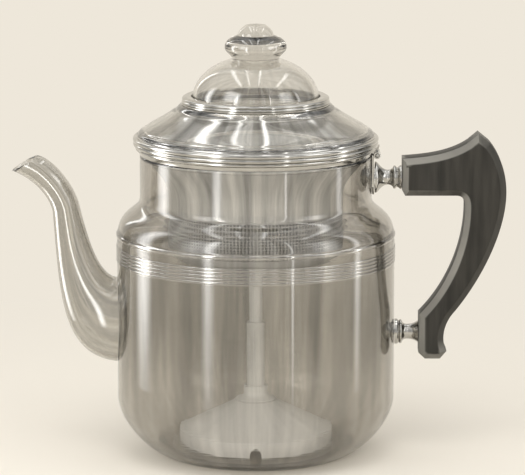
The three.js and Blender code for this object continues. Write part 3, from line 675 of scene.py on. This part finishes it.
def spout_rings(inset, count, sides):
    edges = spout_edge(1), spout_edge(-1)
    rings = [spout_ring(False, i / count, inset, sides, *edges) for i in range(count)]
    return rings + [spout_ring(True, i / count, inset, sides, *edges) for i in range(count + 1)]


def on_wall(ring, radius):
    """The ring moved along X onto a round wall."""
    return [Vector((-math.sqrt(mm(radius) ** 2 - point.y**2), point.y, point.z)) for point in ring]


def spout_plug():
    """What the spout's port takes out of the pot's wall."""
    ring = spout_rings(SPOUT_WALL + GAP, 2, SMALL)[0]
    rings = [[Vector((-mm(out), p.y, p.z)) for p in ring] for out in (BODY_R - 12, BODY_R + 8)]
    return loft("plug", rings, closed_ends=True)


def make_spout():
    sides = 72
    outside, inside = spout_rings(0, 30, sides), spout_rings(SPOUT_WALL, 30, sides)
    for rings in (outside, inside):
        rings[0] = on_wall(rings[0], BODY_R + GAP)
    lip = []
    for share in (0.25, 0.5, 0.75):
        lift = Vector((-mm(0.5), 0, mm(0.75))) * math.sin(math.pi * share) * 0.35
        lip.append([a.lerp(b, share) + lift for a, b in zip(outside[-1], inside[-1])])
    spout = loft("spout_glass", outside + lip + inside[::-1], sharp=60)
    # The lane attribute places the painted reflection streaks along the spout.
    lanes = spout.data.attributes.new("lane", "FLOAT_VECTOR", "POINT")
    around = turns(sides)
    for i, vert in enumerate(spout.data.vertices):
        lanes.data[i].vector = (*polar(LANE_RADIUS, around[i % sides]), vert.co.z * LANE_CHANGE)
    piece(spout, SPOUT_GLASS, "pot", "pot_glass", "spout")


# ---- Sockets, bolts and grip


def make_socket(name, material, start, outline, height):
    """A turned spool along X, its start seated on the round wall. The outline is (radius, way out)."""
    profile = [(BOLT_HOLE, start + 0.01)] + [(r, start + out) for r, out in outline]
    profile.append((BOLT_HOLE, profile[-1][1]))
    socket = turned(f"{name}_socket_metal", profile, SMALL, along_x=height, sharp=38)
    for vert in socket.data.vertices:
        if vert.co.x < mm(start + 0.05):
            vert.co.x = math.sqrt(mm(start) ** 2 - vert.co.y**2)
    piece(socket, material, "pot", "polished_metal", f"{name}_socket")


def make_sockets():
    start = NECK_R + GAP + STRAP + GAP
    reach = GRIP_FACE - GAP - start
    outline = [(8.1, 0.0), (8.1, 0.7), (7.7, 1.3), (6.9, 2.0)]
    waist = ((5.4, 3.2), (4.1, reach * 0.34), (3.9, reach * 0.47), 10)
    outline += on(outline[-1], waist, ((3.8, reach * 0.58), (4.4, reach * 0.64), (5.2, reach * 0.68), 6))
    outline += arc((5.2, reach * 0.745), reach * 0.065, -90, 90, 8)[1:]
    outline += [(5.1, reach * 0.84), (5.3, reach * 0.87), (6.2, reach * 0.95), (6.3, reach)]
    make_socket("upper", METAL_UPPER, start, outline, UPPER_Z)

    start = BODY_R + GAP
    reach = FOOT_FACE - GAP - start
    outline = [(6.6, 0.0), (6.6, reach * 0.1), (6.1, reach * 0.15), (5.8, reach * 0.18)]
    outline += arc((5.6, reach * 0.25), reach * 0.06, -90, 90, 8)[1:]
    waist = ((4.4, reach * 0.36), (3.9, reach * 0.42), (3.9, reach * 0.54), 8)
    outline += on((5.6, reach * 0.32), waist, ((3.9, reach * 0.7), (4.2, reach * 0.84), (5.7, reach), 8))
    make_socket("lower", METAL_LOWER, start, outline, LOWER_Z)


def make_bolt(name, inside, tip, height):
    """A slotted round-head bolt with its thread, and the soft washer under its head."""
    washer, pitch, head_high = 0.8, 0.8, 2.2
    face = inside - GAP
    head = face - washer - GAP
    dome = [(0, head_high), (1.6, 2.15), (3.1, 1.75), (4.1, 0.95), (4.4, 0.2), (4.3, 0), (BOLT_R, 0)]
    profile = [(r, head - high) for r, high in dome]
    count = int((tip - head - 12) / pitch)
    profile.append((BOLT_R, tip - pitch * count))
    for k in range(count):
        low = tip - pitch * (count - k)
        profile += [(1.75, low + 0.25), (BOLT_R, low + 0.55)]
    profile += [(1.7, tip), (0, tip)]
    bolt = turned(f"{name}_bolt_metal", profile, SMALL, along_x=height)
    slot = bmesh.new()
    bmesh.ops.create_cube(slot, size=1)
    size = Matrix.Diagonal((mm(1.5), mm(9.4), mm(0.9), 1))
    place = Matrix.Translation((mm(head - head_high), 0, mm(height)))
    bmesh.ops.transform(slot, matrix=place @ size, verts=slot.verts[:])
    cut(bolt, [finish_mesh(slot, "slot")])
    piece(bolt, STEEL, "pot", "fastener_metal", f"{name}_bolt")

    ring = [(BOLT_HOLE, face - washer), (5.6, face - washer), (5.6, face), (BOLT_HOLE, face)]
    seal = turned(f"{name}_washer_seal", eased(ring, 0.25), SMALL, along_x=height)
    for vert in seal.data.vertices:
        vert.co.x -= mm(face) - math.sqrt(mm(face) ** 2 - vert.co.y**2)
    piece(seal, RUBBER, "pot", "seal_rubber", f"{name}_washer")


def make_insert(name, face, height):
    """A ribbed brass insert in the grip."""
    low, high, sides = face + 1.5, face + INSERT_END, 96
    rings = []
    for place, outer in ((low, 3.1), (low + 0.5, 3.5), (high - 0.5, 3.5), (high, 3.1), (high, None), (low, None)):
        ring = []
        for k, turn in enumerate(turns(sides)):
            y, z = polar(outer - 0.12 * (k % 4 > 1) if outer else BOLT_HOLE, turn)
            ring.append((mm(place), mm(y), mm(height + z)))
        rings.append(ring)
    piece(loft(f"{name}_insert_metal", rings, sharp=32), BRASS, "pot", "insert_brass", f"{name}_insert")


def grip_outline():
    """The grip's side outline as (x, z) points: arm, palm side, foot, back and thumb horn."""
    face, foot_face = GRIP_FACE, FOOT_FACE
    arm_top = UPPER_Z + 9.8 + 0.9
    arm_low = arm_top - 19.6
    palm_x, palm_z = face + 32.3, arm_low - 4.6
    back_x, back_z = face + 53.9, arm_low + 1.5
    horn_x, horn_z = horn = (face + 39.2, arm_top + 12.9)
    heel, foot_low, foot_top = foot_face + 12.8, LOWER_Z - 13.5, LOWER_Z + 10
    points = [(face, arm_low + 3), (face + 1.6, arm_low), (palm_x - 4.4, arm_low)]
    points += on(
        points[-1],
        ((palm_x - 1.6, arm_low), (palm_x - 0.2, arm_low - 1.0), (palm_x, palm_z), 8),
        ((palm_x + 0.4, palm_z - 22), (foot_face + 14, foot_top + 14), (foot_face, foot_top), 36),
    )
    points += [(foot_face, foot_low + 3.2), (foot_face + 3.4, foot_low)]
    points += [(heel - 1.6, foot_low), (heel + 1.8, foot_low + 4)]
    points += on(
        points[-1],
        ((heel - 1, foot_low + 9), (heel - 0.6, foot_low + 18), (heel + 6, foot_top + 1.6), 18),
        ((heel + 20, foot_top + 19), (back_x, back_z - 20), (back_x, back_z), 30),
        ((back_x, back_z + 13), (horn_x + 9, horn_z - 5), horn, 22),
        ((horn_x - 10, horn_z - 10.4), (face + 14, arm_top + 0.9), (face, arm_top), 24),
    )
    return [point for point in points if point == horn or math.dist(point, horn) > 6.5]


def flatten_sides(obj):
    """Keeps the big side faces out of the smooth shading round them."""
    mesh = bmesh.new()
    mesh.from_mesh(obj.data)
    for face in mesh.faces:
        if abs(face.normal.y) > 0.9999 and len(face.edges) > 4:
            for edge in face.edges:
                edge.smooth = False
    mesh.to_mesh(obj.data)
    mesh.free()


def make_grip():
    points = grip_outline()
    normals = []
    for i, point in enumerate(points):
        here = Vector(point)
        one = (here - Vector(points[i - 1])).normalized()
        two = (Vector(points[(i + 1) % len(points)]) - here).normalized()
        run = (one + two).normalized()
        widen = 1 / max(math.cos(one.angle(two) / 2), 0.6)
        normals.append(Vector((-run.y, run.x)) * widen)
    section = [(0, 0), (0, 5.3), (0.12, 5.75), (0.42, 6.15), (2.75, 8.5), (3.15, 8.82), (3.6, 8.97)]
    section += [(4.1, GRIP_HALF), (4.3, GRIP_HALF)]
    rings = []
    for inset, side in [(inset, -side) for inset, side in section[:0:-1]] + section:
        ring = []
        for (x, z), normal in zip(points, normals):
            ring.append((mm(x + normal.x * inset), mm(side), mm(z + normal.y * inset)))
        rings.append(ring)
    grip = loft("grip_wood_body", rings, closed_ends=True, sharp=30)
    holes = ((GRIP_FACE, UPPER_Z), (FOOT_FACE, LOWER_Z))
    cut(grip, [rod(INSERT_HOLE, face - 7, face + INSERT_END + GAP, height) for face, height in holes], sharp=30)
    flatten_sides(grip)
    piece(grip, WOOD, "pot", "grip_wood", "grip")


# ---- Lid

SPRING = DOME_FOOT + 1.6  # where the dome rises from its flat foot
FLANGE_R = DOME_R + 3.6
SEAL_LOW = LEDGE_Z + GAP


def make_rim_and_cover():
    inner = 59.5
    rim = [(inner, RIM_LOW), (60.2, RIM_LOW)]
    rim += on(rim[-1], ((60.4, 159.2), (60.8, 159.8), (61.0, 160.3), 5))
    rim += arc((61.2, 161.4), 1.05, -80, 80, 8) + arc((62.1, 163.55), 1.25, -65, 75, 8)
    rim += arc((62.1, 165.85), 1.4, -70, 115, 10)
    rim += [(61.2, 167.3), (61.15, RIM_TOP), (inner, RIM_TOP)]
    piece(turned("lid_rim_metal", eased(rim, 0.12, 2), sharp=50), METAL, "lid", "polished_metal", "lid_rim")

    foot = RIM_TOP + GAP
    outside = bend((61.2, foot), (LEDGE_R, LEDGE_Z), (0.1, 0.24), (0.63, 0.5), 36)
    inside = [p for p in from_height(offset(outside, COVER_WALL), foot) if p[1] < LEDGE_Z - 2.5]
    cover = []
    for i, (r, z) in enumerate(outside):
        share = i / (len(outside) - 1)
        grooved = share < 0.22 or share > 0.82
        groove = 0.22 * max(0, math.sin(share * math.pi * 14)) * grooved
        cover.append((r - groove, z - groove * 0.6))
    cover += [(LEDGE_HOLE, LEDGE_Z), (LEDGE_HOLE, LEDGE_Z - COVER_WALL)] + inside[::-1]
    piece(turned("lid_cover_glass", cover, sharp=45), LID_GLASS, "lid", "lid_glass", "lid_cover")


def make_dome():
    dome = arc((0, SPRING), DOME_R, 0, math.degrees(math.acos(DOME_NECK_R / DOME_R)), 30, tall=DOME_H)
    top = dome[-1][1]
    knob = on(
        (DOME_NECK_R, top),
        ((12.1, top + 0.9), (13.4, top + 1.9), (14.6, top + 3.2), 8),
        ((15.6, top + 4.2), (16.0, top + 5.0), (16.0, top + 5.9), 7),
        ((16.0, top + 8.2), (14.6, top + 9.6), (12.9, top + 10.7), 9),
        ((11.4, top + 11.7), (10.0, top + 11.8), (9.3, top + 12.3), 7),
        ((9.0, top + 14.0), (7.4, top + 16.0), (5.6, top + 17.1), 9),
        ((4.6, top + 17.7), (2.6, top + 17.8), (0, top + 17.8), 7),
    )
    hollow = arc((0, SPRING), DOME_R - DOME_WALL, 90, 0, 24, tall=DOME_H - DOME_WALL)
    hollow[0] = (0, hollow[0][1])
    foot = [(DOME_R - DOME_WALL, DOME_FOOT), (FLANGE_R, DOME_FOOT), (FLANGE_R, SPRING)]
    glass = turned("dome_glass_body", hollow + foot + dome + knob, sharp=45)
    piece(glass, DOME_GLASS, "lid", "dome_glass", "glass_dome")


def make_gasket_and_collar():
    low, thick = SEAL_LOW, 0.8
    seal = [(LEDGE_HOLE, low), (FLANGE_R, low), (FLANGE_R, low + thick), (LEDGE_HOLE, low + thick)]
    piece(turned("dome_gasket_seal", eased(seal, 0.25)), RUBBER, "lid", "seal_rubber", "dome_gasket")

    plate, inner = SPRING + GAP, DOME_R + 2 * GAP
    skirt_in = FLANGE_R + 2 * GAP
    skirt_out = skirt_in + 1.0
    collar = [(inner, plate), (skirt_in, plate), (skirt_in, low), (skirt_out + 0.5, low)]
    collar.append((skirt_out + 0.5, low + 0.5))
    collar += arc((skirt_out - 0.35, low + 1.25), 0.7, -60, 60, 6)
    collar += arc((skirt_out - 0.55, low + 2.7), 0.75, -60, 85, 7)
    collar += [(skirt_out - 1.5, plate + 1.0), (inner + 0.3, plate + 1.0), (inner, plate + 0.7)]
    piece(turned("dome_collar_metal", collar, sharp=45), METAL, "lid", "polished_metal", "dome_collar")


# ---- Hinge


def hinged_into(mesh, profile, segments):
    """Adds a closed profile turned about the hinge's line along Y."""
    before = set(mesh.verts)
    turn_into(mesh, profile, segments)
    lay = Matrix.Translation((mm(HINGE_X), 0, mm(HINGE_Z))) @ Matrix.Rotation(-math.pi / 2, 4, "X")
    bmesh.ops.transform(mesh, matrix=lay, verts=[v for v in mesh.verts if v not in before])


def knuckle_into(mesh, bore, low, high):
    corners = [(bore, low), (KNUCKLE_R, low), (KNUCKLE_R, high), (bore, high)]
    hinged_into(mesh, eased(corners, 0.2), 48)


def make_hinge():
    low, high, half, slot, corner = UPPER_Z - 9, HINGE_Z - 0.6, 7.0, 3.3, 5.5
    outline = arc((0, low + corner), half, 180, 360, 8, tall=corner)
    slot_low = HINGE_Z - KNUCKLE_R - 2 * GAP
    outline += [(half, high), (slot, high), (slot, slot_low), (-slot, slot_low), (-slot, high), (-half, high)]
    layers = []
    for radius in (NECK_R + GAP, NECK_R + GAP + STRAP):
        layers.append([(mm(math.sqrt(radius**2 - y * y)), mm(y), mm(z)) for y, z in outline])
    mesh = bmesh.new()
    prism_into(mesh, *layers)
    bmesh.ops.triangulate(mesh, faces=mesh.faces[:])
    for side in (-1, 1):
        middle, reach = side * (slot + half) / 2, (half - slot) / 2
        knuckle_into(mesh, 1.05, middle - reach, middle + reach)
    piece(finish_mesh(mesh, "hinge_bracket_metal"), METAL_UPPER, "pot", "polished_metal", "hinge_bracket")

    mesh = bmesh.new()
    hinged_into(mesh, [(0, -7.5), (0.6, -7.45), (0.9, -7.1), (0.9, 7.1), (0.6, 7.45), (0, 7.5)], 32)
    piece(finish_mesh(mesh, "hinge_pin_metal"), STEEL, "pot", "fastener_metal", "hinge_pin")

    mesh = bmesh.new()
    knuckle_into(mesh, 1.2, -LEAF_HALF, LEAF_HALF)
    outline = [(-0.1, 1.7), (0.8, 1.6), (0.8, 3.0), (1.3, 4.4), (0.9, 4.2), (0.2, 3.4), (-0.7, 2.2)]
    layers = []
    for y in (-LEAF_HALF, LEAF_HALF):
        layers.append([(mm(HINGE_X + x), mm(y), mm(HINGE_Z + z)) for x, z in outline])
    prism_into(mesh, *layers)
    piece(finish_mesh(mesh, "hinge_leaf_metal"), METAL, "lid", "polished_metal", "hinge_leaf")


# ---- Basket and spreader

FLAT = 0.7  # thickness of the perforated sheets that lie flat


def perforated_into(mesh, columns, rows, at, hole=0.4):
    """A perforated sheet round the Z axis. at(v, face) gives (radius, height) for a row and for face 0 or 1."""
    grid = {}

    def vert(u, v, face):
        radius, height = at(v, face)
        return mesh.verts.new((*polar(mm(radius), 2 * math.pi * u / columns), mm(height)))

    def corner(u, v, face):
        key = (round(2 * u) % (2 * columns), round(2 * v), face)
        if key not in grid:
            grid[key] = vert(key[0] / 2, v, face)
        return grid[key]

    cell = ((0, 0), (0.5, 0), (1, 0), (1, 0.5), (1, 1), (0.5, 1), (0, 1), (0, 0.5))
    circle = [polar(hole, math.radians(45 * k - 135)) for k in range(8)]
    for i in range(columns):
        for j in range(rows):
            rings = []
            for face in (0, 1):
                edge = [corner(i + u, j + v, face) for u, v in cell]
                rings.append([vert(i + 0.5 + u, j + 0.5 + v, face) for u, v in circle])
                bridge(mesh, edge, rings[-1])
            bridge(mesh, *rings)
    for v in (0, rows):
        for i in range(2 * columns):
            a, b = i / 2, (i + 1) / 2
            mesh.faces.new((corner(a, v, 0), corner(b, v, 0), corner(b, v, 1), corner(a, v, 1)))


def perforated_disc(mesh, edges, height, thick, pitch=1.8):
    """Rings of holes on a flat sheet. Each zone between two edges has its own number of holes round it."""
    for low, high in zip(edges, edges[1:]):
        rows = max(1, round((high - low) / pitch))
        columns = max(8, round(math.pi * (low + high) / pitch))

        def at(v, face, low=low, high=high, rows=rows):
            return low + (high - low) * v / rows, height + (thick if face else 0)

        perforated_into(mesh, columns, rows, at)


def flat_ring(low, inner, outer):
    """The plain rim of a perforated sheet."""
    return [(inner, low), (outer, low), (outer, low + FLAT), (inner, low + FLAT)]


def make_basket():
    radius, low, band_low, band_high = 45.2, 104.0, 108.6, 127.2
    columns, rows = 158, 11
    flare = bend((radius, 137), (56.7, 156.5), (0.06, 0.46), (0.62, 0.66), 26)
    wall = [(radius, band_high)] + bead(radius - 0.3, 128.6, 1.6, 0.3)[1:-1] + [(radius, 130.4)] + flare
    lip = [(57.9, 156.5), (58.3, 156.75), (58.3, 157.15), (57.9, 157.4)]
    inner = [(radius - SHEET, band_high)] + offset([(radius, 132)] + flare, SHEET)
    mesh = bmesh.new()
    turn_into(mesh, wall + lip + inner[::-1], ROUND)

    def band(v, face):
        return radius - SHEET * 0.6 * face, band_low + (band_high - band_low) * v / rows

    perforated_into(mesh, columns, rows, band)
    corner = cubic((radius - 4.5, low), (radius - 2.0, low), (radius, low + 2.0), (radius, band_low), 10)
    turn_into(mesh, corner + offset(corner, SHEET)[::-1], ROUND)
    perforated_disc(mesh, (9.0, 14.4, 21.6, 30.6, 39.6), low, SHEET * 0.7)
    turn_into(mesh, flat_ring(low, STEM_HOLE, 9.0), ROUND)
    turn_into(mesh, flat_ring(low, 39.6, radius - 4.4), ROUND)
    piece(finish_mesh(mesh, "basket_sheet", sharp=40), SHEET_METAL, "basket", "basket_metal", "basket")

    foot = low + SHEET + GAP
    tube = [(4.8, 0), (7.0, 0), (7.0, 0.5), (6.3, 0.9), (5.8, 1.4), (5.6, 2.2)]
    tube += [(5.6, 29.6), (5.75, 30.4), (5.6, 31), (4.9, 31), (4.8, 30.8)]
    chimney = turned("basket_chimney_tube", [(r, foot + up) for r, up in tube], SMALL)
    piece(chimney, SHEET_METAL, "basket", "basket_metal", "basket_chimney")


def make_spreader():
    (_, _, low), (edge, _, high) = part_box("spreader")
    low, edge, high = low * 1000, edge * 1000, high * 1000
    flat, wall_low = edge - 2.4, low + 2.6
    mesh = bmesh.new()
    perforated_disc(mesh, (6.2, 11.6, 20.6, 29.6, 38.6), low, FLAT)
    collar = [(STEM_HOLE, low), (6.2, low), (6.2, low + FLAT), (5.2, low + 0.9), (4.85, low + 1.4)]
    turn_into(mesh, collar + [(4.85, wall_low), (STEM_HOLE, wall_low)], SMALL)
    rim = [(38.6, low), (flat, low)]
    rim += on(rim[-1], ((edge - 0.9, low + 0.6), (edge, low + 1.6), (edge, wall_low), 6))
    rim += [(edge, high), (edge - SHEET, high), (edge - SHEET, wall_low), (edge - 1.9, low + 1.3)]
    turn_into(mesh, rim + [(flat, low + FLAT), (38.6, low + FLAT)], ROUND)
    piece(finish_mesh(mesh, "spreader_sheet", sharp=40), SPREADER_METAL, "spreader", "basket_metal", "spreader")


# ---- Pump


def make_pump():
    low, top, cone_top, bore = FLOOR + GAP, 13.3, 27.9, 5.03
    slope = bend((39.2, top), (10.8, cone_top), (0.34, 0.36), (0.7, 0.66), 16)
    outside = [(40, low), (40, top - 1.2), (39.8, top - 0.4)] + slope + [(bore, cone_top)]
    inner = [(39.1, low), (39.1, top - 1.6)] + [(r - 0.4, z - 1.0) for r, z in slope[1:]]
    inner.append((bore, cone_top - 0.9))
    base = turned("pump_base_sheet", outside + inner[::-1])
    notch = 3
    shape = [(-notch, low - 4), (notch, low - 4)] + arc((0, low + 1.8), notch, 0, 180, 15)
    arches = []
    for k in range(3):
        mesh = bmesh.new()
        prism_into(mesh, *([(mm(x), mm(y), mm(z)) for x, z in shape] for y in (-44, -36)))
        bmesh.ops.transform(mesh, matrix=Matrix.Rotation(math.radians(120 * k), 4, "Z"), verts=mesh.verts[:])
        arches.append(finish_mesh(mesh, "arch"))
    cut(base, arches)
    piece(base, PUMP_METAL, "pump", "pump_metal", "pump_base")

    foot = cone_top + GAP
    collar = [(bore, foot), (10.6, foot), (10.8, foot + 0.3), (10.6, foot + 0.65), (9.0, foot + 1.2)]
    collar += on(collar[-1], ((7.4, foot + 1.8), (6.2, foot + 2.4), (6.15, foot + 3.8), 8))
    collar += [(6.15, foot + 6.6), (6.35, foot + 7.0), (6.15, foot + 7.4)]
    collar += [(5.9, foot + 7.6), (bore, foot + 7.6)]
    piece(turned("pump_collar_metal", collar, SMALL), PUMP_METAL, "pump", "pump_metal", "pump_collar")

    sleeve = [(3.73, 26.0), (4.8, 26.0), (4.8, 67.4), (4.7, 67.8)]
    sleeve += [(4.8, 68.3), (4.8, 68.9), (4.4, 69.5), (3.73, 69.5)]
    piece(turned("stem_sleeve_tube", sleeve, SMALL), PUMP_METAL, "pump", "pump_metal", "stem_sleeve")
    stem = [(2.7, 22.0), (3.5, 22.0), (3.5, 160.6), (3.42, 161.1)]
    stem += [(3.5, 161.5), (3.3, 162.0), (2.9, 162.0), (2.7, 161.7)]
    piece(turned("stem_tube_metal", stem, SMALL), PUMP_METAL, "pump", "pump_metal", "stem_tube")


# ---- Stage, lamps and camera

PAPER = (0.855, 0.799, 0.701)


def paper(name, colour):
    """Matt paper, shaded near the object and plain in its own colour further out."""
    shader = Shader(name)
    fleck = shader.noise(shader.position, 600.0, 4.0, 0.6)
    shader.set(Base_Color=shader.mixed(fleck, dimmed(colour, 0.98), colour), Roughness=0.9)
    path = shader.node("ShaderNodeLightPath").outputs
    seen = shader.most(shader.most(path["Is Camera Ray"], path["Is Glossy Ray"]), path["Is Transmission Ray"])
    far = shader.level(shader.turning()[0], 0.1, 0.42)
    plain = shader.node("ShaderNodeEmission", {"Color": (*colour, 1), "Strength": 1.0})
    shader.cover(shader.times(seen, far), plain)
    return shader.material


def make_stage():
    """A round floor of plain paper. The room behind it has the same colour, so its edge doesn't show."""
    mesh = bmesh.new()
    bmesh.ops.create_circle(mesh, cap_ends=True, segments=96, radius=4.0)
    floor = finish_mesh(mesh, "floor")
    floor.data.materials.append(paper("floor_paper", PAPER))


def softbox(name, place, target, size, power, glints=True, fills=True):
    """A lamp that is brightest in its middle and that the camera doesn't see: for glints, for fill or for both."""
    lamp = bpy.data.lights.new(name, "AREA")
    lamp.shape = "RECTANGLE"
    lamp.size, lamp.size_y = size
    lamp.energy = power
    lamp.use_nodes = True
    nodes = Nodes(lamp.node_tree)
    across = nodes.split(nodes.node("ShaderNodeNewGeometry").outputs["Parametric"])
    shares = []
    for axis, edge in ((0, 0.5), (1, 0.25)):
        inward = nodes.math("PINGPONG", across[axis], 0.5)
        shares.append(nodes.level(inward, 0.0, edge, interpolation_type="SMOOTHSTEP"))
    nodes.feed(nodes.tree.nodes["Emission"].inputs["Strength"], nodes.times(*shares))
    obj = added(name, lamp)
    obj.location = place
    obj.rotation_euler = (Vector(target) - Vector(place)).to_track_quat("-Z", "Y").to_euler()
    obj.visible_camera = False
    obj.visible_diffuse = fills
    obj.visible_transmission = fills and glints
    obj.visible_glossy = glints


def make_sky():
    """A pale room. Its walls light the object with lighter and darker bands in turn, and look plain themselves."""
    world = bpy.data.worlds.new("studio")
    bpy.context.scene.world = world
    world.use_nodes = True
    nodes = Nodes(world.node_tree)

    def level(*values):
        return nodes.level(*values, interpolation_type="SMOOTHSTEP")

    def light(colour, strength):
        return nodes.node("ShaderNodeBackground", {"Color": (*colour, 1), "Strength": strength}).outputs[0]

    x, y, z = nodes.split(nodes.node("ShaderNodeTexCoord").outputs["Generated"])
    round_the_room = {"W": nodes.math("ARCTAN2", y, x), "Scale": 3.6, "Detail": 2.0}
    bands = nodes.node("ShaderNodeTexNoise", round_the_room, noise_dimensions="1D").outputs["Fac"]
    walls = level(bands, 0.38, 0.62, 0.18, 0.94)
    ceiling = level(z, 0.3, 0.9, 0.0, 0.4)
    room = light((0.95, 0.94, 0.92), nodes.plus(walls, ceiling))
    plain = light(PAPER, 1.0)
    path = nodes.node("ShaderNodeLightPath").outputs
    behind = nodes.times(level(y, 0.6, 0.9), path["Is Glossy Ray"])
    seen = nodes.most(path["Is Camera Ray"], path["Is Transmission Ray"])
    mix = nodes.node("ShaderNodeMixShader", {0: nodes.most(seen, behind), 1: room, 2: plain})
    nodes.feed(nodes.tree.nodes["World Output"].inputs["Surface"], mix.outputs[0])


# Strip lamps for glints alone. The upright ones face the pot's axis: name, place, width, length, power. The
# others hang over it along Y: name, place along X, width, power.
UPRIGHT_STRIPS = (
    ("strip_left", (-0.235, 0.01, 0.17), 0.1, 0.4, 0.7),
    ("strip_right", (0.24, -0.04, 0.17), 0.045, 0.4, 0.17),
    ("strip_front_left", (-0.127, -0.191, 0.17), 0.05, 0.4, 0.34),
    ("strip_front_right", (0.1, -0.207, 0.17), 0.012, 0.4, 0.06),
    ("strip_back_left", (-0.8, 1.15, 0.8), 0.16, 1.1, 2.2),
)
OVERHEAD_STRIPS = (
    ("strip_over_left", -0.52, 0.2, 4.0),
    ("strip_over_middle", -0.2, 0.1, 1.4),
    ("strip_over_grip", 0.1, 0.09, 1.8),
    ("strip_over_right", 0.78, 0.2, 3.6),
)
BEHIND, ABOVE = 0.2, 1.5  # where the overhead strips hang, in metres
OVERHEAD_LENGTH = 1.8


def make_light():
    make_sky()
    for name, place, width, length, power in UPRIGHT_STRIPS:
        softbox(name, place, (0, 0, place[2]), (width, length), power, fills=False)
    for name, across, width, power in OVERHEAD_STRIPS:
        place = (across, BEHIND, ABOVE)
        softbox(name, place, (across, BEHIND, 0), (width, OVERHEAD_LENGTH), power, fills=False)
    softbox("left_box", (-1.1, -1.0, 0.85), (0, 0, 0.11), (1.3, 1.3), 14)
    softbox("right_box", (1.25, -0.75, 0.7), (0, 0, 0.11), (1.1, 1.1), 8)
    softbox("top_box", (0.0, -0.8, 1.4), (0, 0, 0.06), (1.4, 1.0), 16, glints=False)
    softbox("front_box", (-0.4, -1.5, 0.3), (0, 0, 0.09), (0.8, 0.5), 34, glints=False)


def make_camera():
    """The photograph's view: 525 by 475 pixels, from -Y and about 10.5 degrees above level."""
    data = bpy.data.cameras.new("camera")
    data.lens = 264.3
    data.sensor_width = 36
    data.clip_start = 0.05
    camera = added("camera", data)
    target = Vector((0.0035, 0, 0.1136))
    pitch = math.radians(10.5)
    distance = 2.0
    camera.location = target + Vector((0, -math.cos(pitch), math.sin(pitch))) * distance
    camera.rotation_euler = (math.pi / 2 - pitch, 0, 0)
    bpy.context.scene.camera = camera


make_camera()
make_stage()
make_light()
make_pot()
make_spout()
make_sockets()
make_bolt("upper", NECK_R - WALL, GRIP_FACE + INSERT_END, UPPER_Z)
make_bolt("lower", BODY_R - WALL, FOOT_FACE + INSERT_END, LOWER_Z)
make_insert("upper", GRIP_FACE, UPPER_Z)
make_insert("lower", FOOT_FACE, LOWER_Z)
make_grip()
make_hinge()
make_rim_and_cover()
make_dome()
make_gasket_and_collar()
make_basket()
make_spreader()
make_pump()

bpy.context.scene.view_settings.view_transform = "Standard"
